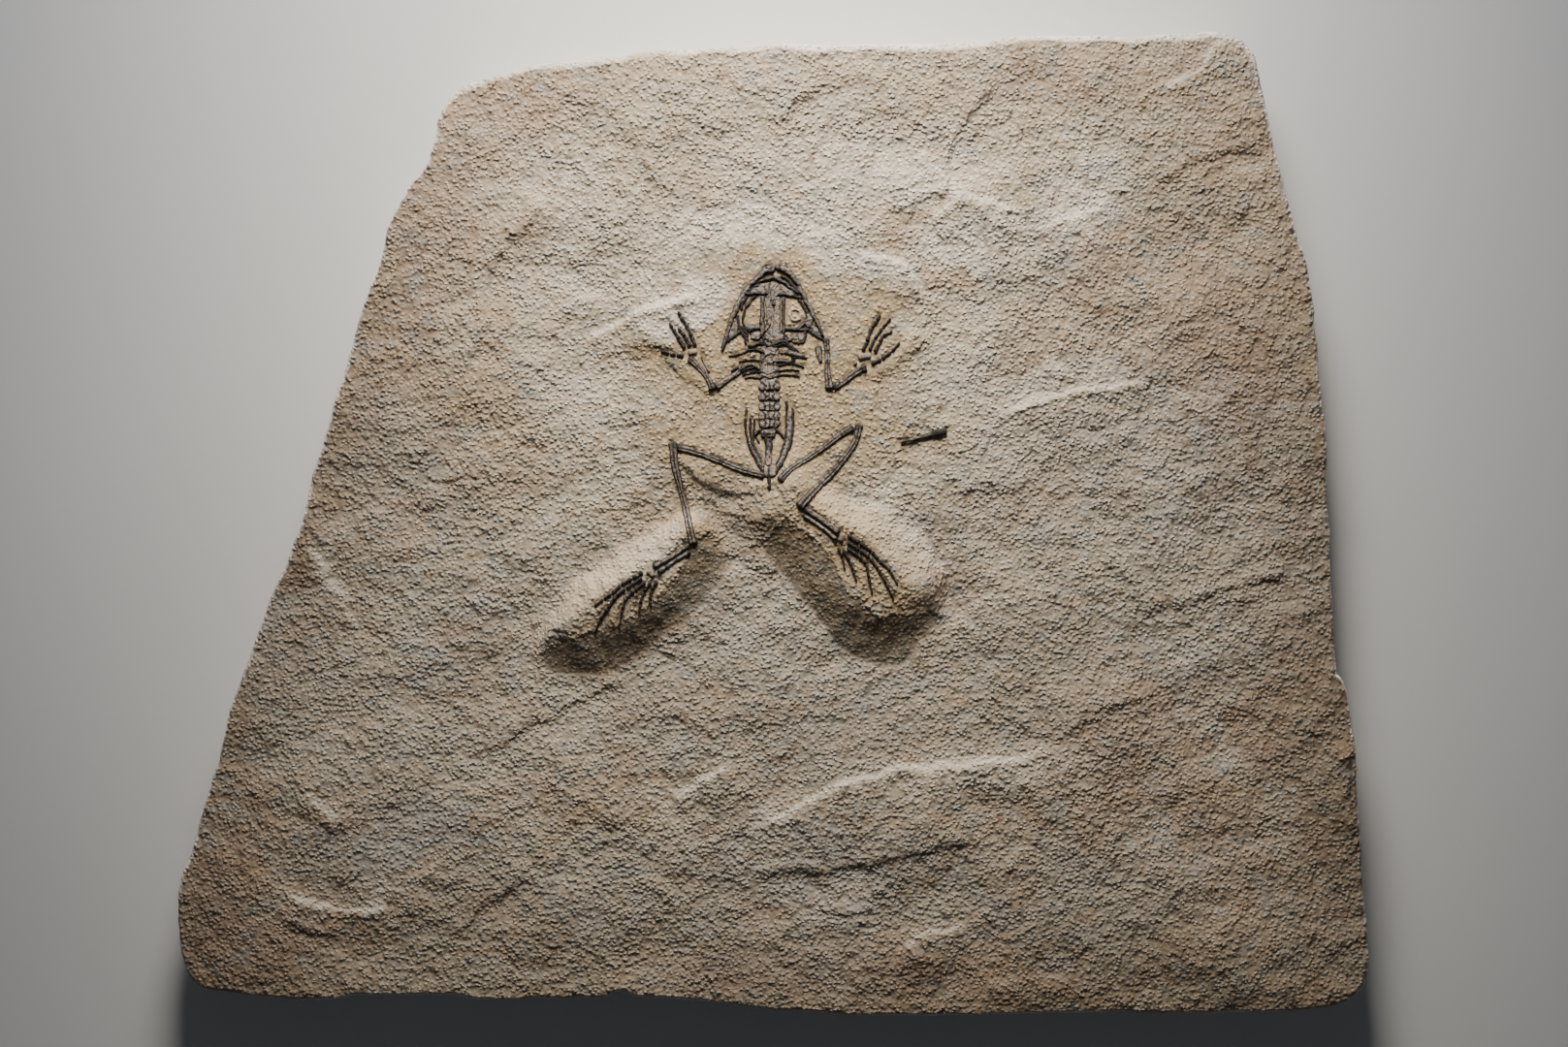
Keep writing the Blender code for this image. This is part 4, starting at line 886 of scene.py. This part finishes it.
def strip_faces(upper, lower):
    """Faces between two closed rows of points."""
    count = len(upper)
    return [(int(upper[i]), int(lower[i]), int(lower[(i + 1) % count]), int(upper[(i + 1) % count]))
            for i in range(count)]


def slab_plan():
    """(outline, edge of the face): closed clockwise loops, the outline ragged with small chips."""
    chips = slab_loop()
    outline = inset(chips, CHIP_DEPTH * (0.5 + 0.5 * layered(*chips.T, CHIP_LAYERS)))
    top_share = beyond(outline[:, 1], TOP_RIM_FROM, TOP_RIM_FADE)
    rim = RIM_WIDTH + (TOP_RIM_WIDTH - RIM_WIDTH) * top_share
    return outline, inset(outline, rim * (1 + layered(*outline.T, RIM_LAYERS)))


def side_rings(outline, edge, edge_height):
    """(loop, height) of each row of points from the face's edge round the rim and down the broken
    sides to the back."""
    rings = []
    for k in range(1, RIM_ROWS + 1):
        turn = k / RIM_ROWS * math.pi / 2
        rings.append((edge + (outline - edge) * math.sin(turn),
                      edge_height - RIM_DROP * (1 - math.cos(turn))))
    rim_height = rings[-1][1]
    around = np.arange(len(outline))
    for k in range(1, WALL_ROWS + 1):
        down = k / WALL_ROWS
        z = rim_height * (1 - down)
        depth = np.interp(1 - down, [0, WAIST_LEVEL, 1], [FOOT_INSET, WAIST_INSET, 0])
        bite = WALL_BITE * math.sin(down * math.pi) * (layered(around, z, WALL_LAYERS) + 0.4)
        rings.append((inset(outline, np.maximum(depth + bite, 0.1)), z))
    return rings


def slab_faces(rows):
    """Quads of the face, of the rim and sides between rows of points, and the back in one."""
    m, n = CELLS_ACROSS, CELLS_UP
    grid = np.arange((m + 1) * (n + 1)).reshape(n + 1, m + 1)
    quads = np.stack([grid[:-1, :-1], grid[1:, :-1], grid[1:, 1:], grid[:-1, 1:]], axis=-1)
    faces = quads.reshape(-1, 4).tolist()
    for upper, lower in zip(rows, rows[1:]):
        faces += [face[::-1] for face in strip_faces(upper, lower)]
    return faces + [rows[-1].tolist()]


def build_slab(finish, bone_lines):
    """The whole slab in one mesh: face, rounded rim, broken sides and flat back."""
    outline, edge = slab_plan()
    plan = patch_between(edge)
    x, y = plan[..., 0].ravel(), plan[..., 1].ravel()
    level, scraped, carved, broken, tone, side, mark = face_level(x, y)
    to_bone = distance_to(x, y, bone_lines)
    near_bone = 1 - smooth(to_bone / BONE_HALO)
    detail, lively = face_detail(x, y, scraped, near_bone)
    lively = lively * (1 - STILL_FLANK * np.clip(-carved, 0, 1))
    height = level + detail

    points = [np.stack([x, y, height], axis=1)]
    rows = [border_indices()]
    first, count = len(x), len(outline)
    for ring, z in side_rings(outline, edge, height[rows[0]]):
        points.append(np.column_stack([ring, z]))
        rows.append(np.arange(first, first + count))
        first += count
    points = np.vstack(points)
    all_x, all_y = points[:, 0], points[:, 1]

    def continued(values, outside=0.0):
        """Values on the face, and one for all the points of the rim, sides and back."""
        return np.concatenate([values, np.full(len(points) - len(x), outside)])

    shares = {name: blobs(all_x, all_y, patches, seed) for name, (seed, patches) in PATCHES.items()}
    for name in ("pale", "grey", "rosy", "shaded"):
        shares[name] = shares[name] * continued(np.ones(len(x)))
    to_edge = distance_to(all_x, all_y, [OUTLINE + OUTLINE[:1]])
    golden = (1 - beyond(to_bone, GOLDEN_FROM, GOLDEN_REACH)) * (carved > -0.1)
    shares.update(
        raised=continued(np.clip((height - level) / RAISED_FULL, -1, 1)), broken=continued(broken),
        tone=continued(tone), side=continued(side, LEDGE_REACH), mark=continued(mark),
        lively=continued(lively, 0.8), near_bone=continued(near_bone), golden=continued(golden),
        carved=continued(carved), outside=continued(np.zeros(len(x)), 1.0),
        aged=(1 - smooth(to_edge / EDGE_DARKENING_REACH)) * (1 - EDGE_DARKENING_LOSS * beyond(all_y, *EDGE_DARKENING_FADE)))
    return add_piece("stone_slab", points, slab_faces(rows), finish, ["slab"], shares)


def stroke_lift(x, y, height, points):
    """(how far one rounded ridge of bone rises, its dome), falling away steeply beyond its edge."""
    lift = np.full(np.shape(x), -np.inf)
    round_top = np.zeros(np.shape(x))
    for (ax, ay, a_half), (bx, by, b_half) in zip(points, points[1:]):
        length = math.dist((ax, ay), (bx, by))
        dx, dy = (bx - ax) / length, (by - ay) / length
        run = np.clip((x - ax) * dx + (y - ay) * dy, 0.0, length)
        half = a_half + (b_half - a_half) * run / length
        away = np.hypot(x - ax - run * dx, y - ay - run * dy) / half
        dome = np.sqrt(np.clip(1 - away ** 2, 0, 1))
        beyond = -(away - 1) * half * RIDGE_FALL
        lift = np.maximum(lift, np.where(away < 1, height * dome, beyond))
        round_top = np.maximum(round_top, dome * np.clip(half / WIDE_BONE, 0.3, 1))
    return lift, round_top


def build_relief(name, strokes, finish, replaced):
    """Bone grown together from ridges and plates, its edges sunk in the stone.

    A stroke of negative height is a groove in them.
    """
    ends = np.array([point for _, points in strokes for point in points])
    low = ends[:, :2].min(axis=0) - RELIEF_MARGIN
    high = ends[:, :2].max(axis=0) + RELIEF_MARGIN
    columns = np.arange(low[0], high[0], RELIEF_CELL)
    rows = np.arange(low[1], high[1], RELIEF_CELL)
    x, y = np.meshgrid(columns, rows)
    bent_x, bent_y = warped(x, y, 0.3, 2.0, 111)
    lift = np.full(x.shape, -np.inf)
    crest = np.zeros(x.shape)
    # The crest share, highest on the tops of ridges and cleared in grooves, is lightened in the finish
    # as painted highlight.
    for height, points in sorted(strokes, key=lambda stroke: stroke[0] < 0):
        if height < 0:
            _, cut = stroke_lift(bent_x, bent_y, 1, points)
            cut = np.minimum(3 * cut, 1)
            lift = lift + height * cut
            crest = crest * (1 - smooth(cut))
            continue
        ridge, dome = stroke_lift(bent_x, bent_y, height, points)
        crest = np.where(ridge > lift, dome, crest)
        lift = np.maximum(lift, ridge)
    ground = face_level(x, y)[0]
    lift = lift + layered(x, y, BONE_LAYERS) * (lift > 0)
    z = ground + BONE_SINK + np.maximum(lift, BONE_FOOT)
    kept = lift > BONE_EDGE
    quads_kept = kept[:-1, :-1] | kept[1:, :-1] | kept[1:, 1:] | kept[:-1, 1:]
    index = np.arange(x.size).reshape(x.shape)
    quads = np.stack([index[:-1, :-1], index[:-1, 1:], index[1:, 1:], index[1:, :-1]], axis=-1)
    quads = quads[quads_kept]
    used, renumbered = np.unique(quads, return_inverse=True)
    points = np.stack([x.ravel(), y.ravel(), z.ravel()], axis=1)[used]
    faces = renumbered.reshape(-1, 4).tolist()
    return add_piece(name, points, faces, finish, replaced, {"crest": crest.ravel()[used]})


def eased(values):
    """A row of heights with its small bumps evened out."""
    padded = np.pad(values, GROUND_EASING, mode="reflect", reflect_type="odd")
    window = np.hanning(2 * GROUND_EASING + 3)[1:-1]
    return np.convolve(padded, window / window.sum(), mode="valid")


def bone_shaft(stations, groove, seed, knob, rise, light):
    """(points, faces, crest shares) of one long bone lying half sunk in the stone, thicker at its
    ends by the knob's share, with a groove along its top."""
    curve = smooth_line(stations, SHAFT_STEP)
    lengths = np.hypot(*np.diff(curve[:, :2], axis=0).T)
    along = np.concatenate([[0], np.cumsum(lengths)])
    from_end = np.minimum(along, along[-1] - along)
    tangent = np.gradient(curve[:, :2], axis=0)
    tangent /= np.hypot(*tangent.T)[:, None]
    across = np.stack([-tangent[:, 1], tangent[:, 0]], axis=1)
    half = curve[:, 2] * (1 + knob * np.exp(-(from_end / KNOB_REACH) ** 2))
    close = np.sqrt(np.clip(1 - (1 - np.clip(from_end / (0.8 * curve[:, 2]), 0, 1)) ** 2, 0.02, 1))
    half = half * close
    angles = np.arange(SHAFT_SIDES) / SHAFT_SIDES * math.tau
    a, t = np.meshgrid(angles, along)
    u = t + 40.0 * seed
    rough = 1 + 0.10 * grain(u, 2.2 * np.cos(a), 1.3, 121) + 0.06 * grain(u, 3 * np.sin(a), 0.6, 122)
    crack = beyond(grain(u, 0 * a, 1.1, 123), *CRACK_FROM)
    top = np.exp(-((a - math.pi / 2) / GROOVE_WIDTH) ** 2)
    trough = groove * top * smooth(from_end[:, None] / GROOVE_FROM)
    trough = trough * (1 + 0.5 * grain(u, 0 * a, 2.6, 124))
    radius = rough * (1 - trough) * (1 - CRACK_DEPTH * crack)
    ground = eased(face_level(curve[:, 0], curve[:, 1])[0])
    wide = half[:, None] * np.cos(a) * radius
    high = (SHAFT_RISE * half[:, None] + SHAFT_LIP * close[:, None]) * np.sin(a) * radius
    x = curve[:, :1] + across[:, :1] * wide
    y = curve[:, 1:2] + across[:, 1:] * wide
    z = ground[:, None] + BONE_SINK + rise + high
    points = np.stack([x, y, z], axis=-1).reshape(-1, 3)
    count = len(curve)
    rows = np.arange(count * SHAFT_SIDES).reshape(count, SHAFT_SIDES)
    faces = []
    for upper, lower in zip(rows, rows[1:]):
        faces += [face[::-1] for face in strip_faces(upper, lower)]
    faces += [rows[0][::-1].tolist(), rows[-1].tolist()]
    # The crest share: lighter along the top as painted highlight, darker in the groove, at cracks and
    # at the joints.
    line = np.clip(2.6 * trough, 0, 1)
    joint = np.exp(-(from_end[:, None] / JOINT_STAIN) ** 2)
    top_light = light * (1 - line) * (1 - 0.6 * crack) * (1 - 0.75 * joint)
    return points, faces, (beyond(np.sin(a), *TOP_LIGHT_FROM) * top_light).ravel()


def build_bones(name, shafts, groove, finish, replaced, seed, knob, rise, light):
    """One piece from one or more shafts."""
    points, faces, shares = [], [], []
    first = 0
    for k, stations in enumerate(shafts):
        shaft = bone_shaft(stations, groove, seed + 0.37 * k, knob, rise, light)
        points.append(shaft[0])
        faces += [[i + first for i in face] for face in shaft[1]]
        shares.append(shaft[2])
        first += len(shaft[0])
    return add_piece(name, np.vstack(points), faces, finish, replaced,
                     {"crest": np.concatenate(shares)})


def lengthened(stations, amount):
    """The stations with both ends drawn out, so that a joint closes."""
    first, second = stations[0], stations[1]
    last, before = stations[-1], stations[-2]
    start = 1 + amount / math.dist(first[:2], second[:2])
    end = 1 + amount / math.dist(last[:2], before[:2])
    new_first = tuple(b + (a - b) * start for a, b in zip(first[:2], second[:2])) + first[2:]
    new_last = tuple(b + (a - b) * end for a, b in zip(last[:2], before[:2])) + last[2:]
    return [new_first] + list(stations[1:-1]) + [new_last]


def phalanges(stations):
    """A digit cut into its separate bones, with a small gap at each joint."""
    bones = []
    for a, b in zip(stations, stations[1:]):
        gap = JOINT_GAP / math.dist(a[:2], b[:2])
        start = [p + (q - p) * gap for p, q in zip(a, b)]
        middle = [(p + q) / 2 for p, q in zip(a, b)]
        end = [q + (p - q) * gap for p, q in zip(a, b)]
        middle[2] *= PHALANX_WAIST
        bones.append([tuple(start), tuple(middle), tuple(end)])
    return bones


class Looks:
    """A material's node tree, with a short call for each kind of node."""

    def __init__(self, name):
        self.material = bpy.data.materials.new(name)
        self.material.use_nodes = True
        self.tree = self.material.node_tree
        self.shader = self.tree.nodes["Principled BSDF"]
        self.coordinates = self.node("TexCoord", "Object", {})

    def link(self, source, socket):
        """Join a node's output to a socket, or set the socket to a plain value."""
        if hasattr(source, "is_linked"):
            self.tree.links.new(source, socket)
        else:
            socket.default_value = source

    def node(self, kind, output, inputs, **settings):
        """One output of a new node with these settings and inputs."""
        node = self.tree.nodes.new("ShaderNode" + kind)
        for name, value in settings.items():
            setattr(node, name, value)
        for key, source in inputs.items():
            self.link(source, node.inputs[key])
        return node.outputs[output]

    def share(self, name):
        return self.node("Attribute", "Fac", {}, attribute_name=name)

    def noise(self, size, stretch=(1, 1, 1), detail=4.0, roughness=0.55):
        """Noise with features about size metres across."""
        place = self.node("Mapping", "Vector", {"Scale": stretch, "Vector": self.coordinates})
        return self.node("TexNoise", "Fac", {"Vector": place, "Scale": 1 / size, "Detail": detail,
                                             "Roughness": roughness})

    def lumps(self, size, place):
        """Rounded lumps about size metres apart, 1 at their tops, on lower ground."""
        distance = self.node("TexVoronoi", "Distance",
                             {"Vector": place, "Scale": 1 / size, "Smoothness": LUMP_SMOOTHNESS},
                             feature="SMOOTH_F1")
        return self.maths("POWER", self.maths("SUBTRACT", 1.0, distance), LUMP_POWER)

    def pushed(self, size, amount):
        """The coordinates pushed about by noise, so that lumps come out irregular."""
        push = self.node("TexNoise", "Color",
                         {"Vector": self.coordinates, "Scale": 1 / size, "Detail": 2.0})
        return self.node("VectorMath", "Vector", {0: push, 1: (amount,) * 3, 2: self.coordinates},
                         operation="MULTIPLY_ADD")

    def ramp(self, source, low, high, out_low=0.0, out_high=1.0):
        return self.node("MapRange", "Result", {"Value": source, "From Min": low, "From Max": high,
                                                "To Min": out_low, "To Max": out_high})

    def maths(self, operation, a, b=0.0):
        return self.node("Math", "Value", {0: a, 1: b}, operation=operation)

    def times(self, a, b):
        return self.maths("MULTIPLY", a, b)

    def mix(self, share, a, b, blend="MIX"):
        a, b = [(*c, 1.0) if isinstance(c, tuple) else c for c in (a, b)]
        return self.node("Mix", 2, {0: share, 6: a, 7: b}, data_type="RGBA", blend_type=blend)

    def washed(self, colour, washes):
        """The colour under thin washes: each (source, its value where the wash begins, its value
        where the wash is full, the full share, tint, blend)."""
        for source, none, full, most, tint, blend in washes:
            colour = self.mix(self.ramp(source, none, full, 0.0, most), colour, tint, blend)
        return colour

    def bump(self, height, strength, distance, under=None):
        inputs = {"Strength": strength, "Distance": distance, "Height": height}
        if under is not None:
            inputs["Normal"] = under
        return self.node("Bump", "Normal", inputs)

    def finish(self, colour, roughness, normal, specular=0.5):
        for key, source in (("Base Color", colour), ("Roughness", roughness), ("Normal", normal),
                            ("Specular IOR Level", specular)):
            self.link(source, self.shader.inputs[key])
        return self.material


def stone_colour(looks, broad, middling, specks, grit, ragged):
    """Cream stone, with ochre, grey, rosy and chalky patches, darker in its dips and paler on its
    rises.
    Its grain has painted shade in its hollows and painted highlight on its tops; the mounds' flanks,
    some patches and the ledges carry painted shade, and the ledges painted highlight too.
    """
    colour = looks.mix(looks.ramp(middling, 0.35, 0.68), CREAM, TAN)
    uneven = looks.ramp(broad, 0.3, 0.7, 0.7, 1.1)
    mottled = looks.ramp(middling, 0.3, 0.7, 0.85, 1.1)
    for name, tint in (("ochre", OCHRE), ("grey", GREY), ("rosy", ROSY), ("golden", GOLD),
                       ("pale", PALE)):
        share = looks.times(looks.share(name), looks.times(uneven, mottled))
        colour = looks.mix(looks.maths("MINIMUM", share, 1.0), colour, tint)
    patchy = looks.noise(0.0075, stretch=(0.8, 1, 1), detail=4.0, roughness=0.65)
    rust = looks.noise(0.030, stretch=(0.7, 1.2, 1), detail=6.0, roughness=0.7)
    tone = looks.times(looks.share("tone"), looks.ramp(middling, 0.3, 0.7, 0.5, 1.2))
    colour = looks.washed(colour, [
        (patchy, 0.48, 0.32, 0.5, WARM, "MIX"), (patchy, 0.52, 0.66, 0.6, COOL, "MIX"),
        (rust, 0.56, 0.72, 0.3, RUST, "MIX"),
        (tone, 0.0, 1.0, 0.2, PALE, "MIX"), (tone, 0.0, -1.0, 0.2, WARM, "MIX")])
    stained = looks.times(looks.share("broken"), looks.ramp(middling, 0.4, 0.65, 0.1, 0.5))
    colour = looks.mix(stained, colour, CRACK)
    # Along each ledge, a painted highlight where the step faces the head and painted shade elsewhere.
    line = looks.ramp(looks.maths("ABSOLUTE", ragged), 1.8, 0.2)
    for sign, tint, blend, strength in ((1, PALE, "MIX", 0.6), (-1, HOLLOW, "MULTIPLY", 0.3)):
        share = looks.times(line, looks.ramp(looks.share("mark"), 0.1 * sign, sign, 0.0, strength))
        colour = looks.mix(share, colour, tint, blend)
    # Darker in the dips of the face and paler on its rises; painted shade in the grain's hollows and a
    # painted highlight on its tops.
    raised = looks.share("raised")
    colour = looks.washed(colour, [
        (raised, -0.05, -0.8, 0.25, HOLLOW, "MULTIPLY"), (raised, 0.1, 0.9, 0.2, CHALK_AND_HIGHLIGHT, "MIX"),
        (grit, 0.55, 0.12, 0.75, PAINTED_GRAIN_SHADE, "MULTIPLY"), (grit, 0.45, 0.70, 0.12, CHALK_AND_HIGHLIGHT, "MIX"),
        (specks, 0.6, 0.75, 0.5, SPECK, "MULTIPLY")])
    aged = looks.times(looks.share("aged"), looks.ramp(broad, 0.25, 0.7, 0.5, 1.1))
    # Darker beside the bone and near the edges; the shaded patches are painted shade.
    for share, tint in ((looks.times(looks.share("near_bone"), 0.35), NEAR_BONE_DARKENING), (aged, EDGE_DARKENING_AND_SHADE),
                        (looks.share("shaded"), EDGE_DARKENING_AND_SHADE)):
        colour = looks.mix(share, colour, tint, "MULTIPLY")
    # A tint on the lit bevel, and painted shade on the steep flank of each mound.
    carved = looks.share("carved")
    colour = looks.washed(colour, [(carved, 0.0, 1.0, 0.5, BLUSH, "MIX"),
                                   (carved, 0.0, -1.0, 1.0, PAINTED_FLANK_SHADE, "MULTIPLY")])
    # Paler on the rim, sides and back: partly the broken edge's own colour, partly painted highlight.
    edge = looks.times(looks.share("outside"), looks.ramp(middling, 0.35, 0.65, 0.25, 0.85))
    return looks.mix(edge, colour, RIM)


def stone_finish():
    """Fine sandstone, rough with lumps of grain that grow and fade from place to place."""
    looks = Looks("sandstone")
    broad = looks.noise(0.075, detail=3.0)
    middling = looks.noise(0.016, stretch=(0.6, 1, 1), detail=5.0)
    fine = looks.noise(0.0070, stretch=(1.3, 1, 1), detail=3.0, roughness=0.5)
    coarse = looks.noise(0.0034, stretch=(1.2, 1, 1), detail=2.0, roughness=0.5)
    specks = looks.noise(0.0009, detail=3.0, roughness=0.7)
    grit = looks.lumps(0.0017, looks.pushed(0.0015, 0.0010))
    unrest = looks.ramp(looks.noise(0.013, detail=3.0), 0.3, 0.7, 0.65, 1.25)
    ragged = looks.maths("ADD", looks.share("side"), looks.ramp(coarse, 0.3, 0.7, -0.6, 0.6))
    colour = stone_colour(looks, broad, middling, specks, grit, ragged)

    rough = looks.times(grit, GRIT_DEPTH)
    for layer, depth in ((coarse, COARSE_DEPTH), (fine, FINE_DEPTH)):
        rough = looks.maths("ADD", rough, looks.times(layer, depth))
    rough = looks.times(rough, looks.times(unrest, looks.share("lively")))
    drop = looks.times(looks.ramp(ragged, -0.9, 0.9), looks.maths("ABSOLUTE", looks.share("mark")))
    rough = looks.maths("ADD", rough, looks.times(drop, LINE_DEPTH))
    normal = looks.bump(rough, 1.0, STONE_BUMP)
    normal = looks.bump(specks, 0.5, 0.0004, normal)
    return looks.finish(colour, looks.ramp(fine, 0.3, 0.7, 0.96, 0.84), normal, 0.25)


def bone_finish():
    """Dark mineral bone with pale flecks: near black in its hollows and down its sides, grey brown on
    its crests; the dark sides are partly painted shade and the crests partly painted highlight.
    """
    looks = Looks("bone")
    blotches = looks.noise(0.0035, detail=5.0, roughness=0.65)
    streaks = looks.noise(0.0011, detail=5.0, roughness=0.7)
    flecks = looks.noise(0.0021, detail=3.0, roughness=0.6)
    veins = looks.noise(0.0032, detail=2.0, roughness=0.5)
    veins = looks.maths("ABSOLUTE", looks.maths("SUBTRACT", veins, 0.5))
    colour = looks.mix(looks.ramp(blotches, 0.42, 0.58), UMBER, SLATE)
    # The crest share lightens the tops as painted highlight; elsewhere the bone goes near black, partly
    # painted shade.
    lit = looks.times(looks.ramp(looks.share("crest"), 0.35, 0.9), looks.ramp(streaks, 0.28, 0.55))
    colour = looks.mix(looks.maths("SUBTRACT", 1.0, lit), colour, BLACK)
    colour = looks.washed(colour, [(flecks, 0.63, 0.70, 0.7, FLECK, "MIX"),
                                   (veins, 0.035, 0.012, 0.8, BLACK, "MIX")])
    normal = looks.bump(looks.ramp(veins, 0.0, 0.03), 0.8, 0.0003)
    normal = looks.bump(streaks, 0.9, 0.0006, normal)
    return looks.finish(colour, looks.ramp(streaks, 0.3, 0.7, 0.75, 0.5), normal, 0.4)


def pale_bone_finish():
    """The chalky small bones of the wrists and ankles, stained brown."""
    looks = Looks("pale_bone")
    stains = looks.noise(0.0022, detail=5.0, roughness=0.65)
    pits = looks.noise(0.0008, detail=4.0, roughness=0.7)
    colour = looks.mix(looks.ramp(stains, 0.42, 0.62), CHALKY_BONE, UMBER)
    normal = looks.bump(pits, 0.6, 0.0004)
    return looks.finish(colour, looks.ramp(pits, 0.3, 0.7, 0.85, 0.6), normal, 0.35)


def floor_finish():
    looks = Looks("floor")
    cloud = looks.noise(0.25, detail=2.0)
    colour = looks.mix(looks.ramp(cloud, 0.3, 0.7), *FLOOR_TONES)
    normal = looks.bump(looks.noise(0.0015, detail=2.0), 0.05, 0.0003)
    return looks.finish(colour, 0.85, normal, 0.2)


def vertebra_strokes(y, seed):
    """Ridges and plates of a vertebra's body: a low plate, a dark joint below it and a spine."""
    shift = np.random.default_rng(seed).uniform(-0.3, 0.3, 8)
    left, right = BODY_LEFT + 0.3, BODY_RIGHT + 0.3
    middle = (left + right) / 2
    return [
        (0.85, [(left + 1.2, y, 2.1), (middle, y, 2.3), (right - 1.2, y, 2.1)]),
        (1.0, [(middle + shift[4], y + 1.6, 0.5), (middle + shift[5], y - 1.2, 0.6)]),
        (-1.0, [(left - 0.2, y - 1.7, 0.35), (left + 1.6, y - 2.2 + shift[0], 0.5),
                (middle, y - 1.7 + shift[1], 0.4), (right - 1.5, y - 2.2 + shift[2], 0.5),
                (right + 0.2, y - 1.7, 0.35)]),
        (-0.7, [(left + 1.2 + shift[3], y + 1.4, 0.3), (left + 2.2, y, 0.4),
                (left + 1.6, y - 1.4, 0.3)]),
        (-0.7, [(right - 1.2 + shift[6], y + 1.4, 0.3), (right - 2.0, y, 0.4),
                (right - 1.5, y - 1.3, 0.3)]),
    ]


def add_light(name, place, aim, energy, size, colour, spread=180):
    lamp = bpy.data.lights.new(name, "AREA")
    lamp.energy = energy
    lamp.color = colour
    lamp.size = size
    lamp.spread = math.radians(spread)
    light = bpy.data.objects.new(name, lamp)
    light.location = place
    light.visible_camera = False
    light.rotation_euler = (Vector(aim) - Vector(place)).to_track_quat("-Z", "Y").to_euler()
    bpy.context.scene.collection.objects.link(light)


def build_studio():
    """Soft light that rakes down the slab from beyond the snout, on a plain pale floor."""
    add_light("key", KEY_PLACE, (0.0, -0.1, 0.0), KEY_ENERGY, KEY_SIZE, KEY_COLOUR)
    add_light("accent", KEY_PLACE, (0.0, 0.10, 0.0), ACCENT_ENERGY, KEY_SIZE, ACCENT_COLOUR,
              ACCENT_SPREAD)
    add_light("fill", FILL_PLACE, (0.0, 0.0, 0.0), FILL_ENERGY, FILL_SIZE, FILL_COLOUR)
    world = bpy.data.worlds.new("studio")
    world.use_nodes = True
    background = world.node_tree.nodes["Background"]
    background.inputs["Color"].default_value = WORLD_COLOUR
    background.inputs["Strength"].default_value = WORLD_STRENGTH
    bpy.context.scene.world = world
    mesh = bpy.data.meshes.new("floor")
    half = FLOOR_HALF
    mesh.from_pydata([(-half, -half, 0), (half, -half, 0), (half, half, 0), (-half, half, 0)], [],
                     [(0, 1, 2, 3)])
    mesh.materials.append(floor_finish())
    floor = bpy.data.objects.new("floor", mesh)
    bpy.context.scene.collection.objects.link(floor)


def build_camera():
    camera = bpy.data.cameras.new("camera")
    camera.lens = LENS
    camera.sensor_width = 36
    eye = bpy.data.objects.new("camera", camera)
    eye.location = CAMERA_PLACE
    bpy.context.scene.collection.objects.link(eye)
    bpy.context.scene.camera = eye


def build_skeleton(stone, bone, pale_bone):
    build_relief("skull_bones", SKULL, bone, ["skull"])
    build_relief("orbit_cast", ORBIT_RING, stone, ["slab"])
    for i, y in enumerate(VERTEBRA_ROWS, 1):
        name = f"vertebra_{i}"
        strokes = TRUNK[name] if name in TRUNK else vertebra_strokes(y, i)
        build_relief(name + "_bone", strokes, bone, [name])
    for name in ("sacrum", "urostyle", "ischium", "ilium_left", "ilium_right", "clavicle_left"):
        build_relief(name + "_bone", TRUNK[name], bone, [name])
    for k, (name, stations) in enumerate(LIMB_BONES.items()):
        pale = name.startswith(("carpus", "tarsus"))
        finish, slot = (pale_bone, "pale_bone") if pale else (bone, "bone")
        drawn = lengthened(stations, JOINT_REACH.get(name, 0.0))
        rise = DIGIT_RISE if name.startswith(("tibiale", "fibulare")) else 0.0
        light = 1.0
        if name == "loose_bone":
            rise, light = LOOSE_RISE, LOOSE_LIGHT
        build_bones(name + "_bone", [drawn], GROOVES.get(name, SHALLOW_GROOVE), finish, [name],
                    k, LIMB_KNOB, rise, light)
    for k, (name, stations) in enumerate(DIGITS.items(), DIGIT_SEED):
        width = FINGER_WIDTH if name.startswith("finger") else TOE_WIDTH
        wide = [(x, y, half * width) for x, y, half in stations]
        build_bones(name + "_bones", phalanges(wide), 0.0, bone, [name], k, DIGIT_KNOB,
                    DIGIT_RISE, DIGIT_LIGHT)


def bone_lines():
    """Every line of bone on the slab, to darken the stone beside it."""
    lines = [points for strokes in (SKULL, *TRUNK.values()) for _, points in strokes]
    lines += [[(BODY_LEFT, y), (BODY_RIGHT, y)] for y in VERTEBRA_ROWS]
    return lines + list(LIMB_BONES.values()) + list(DIGITS.values())


def main():
    build_camera()
    build_studio()
    stone = stone_finish()
    build_slab(stone, bone_lines())
    build_skeleton(stone, bone_finish(), pale_bone_finish())


main()
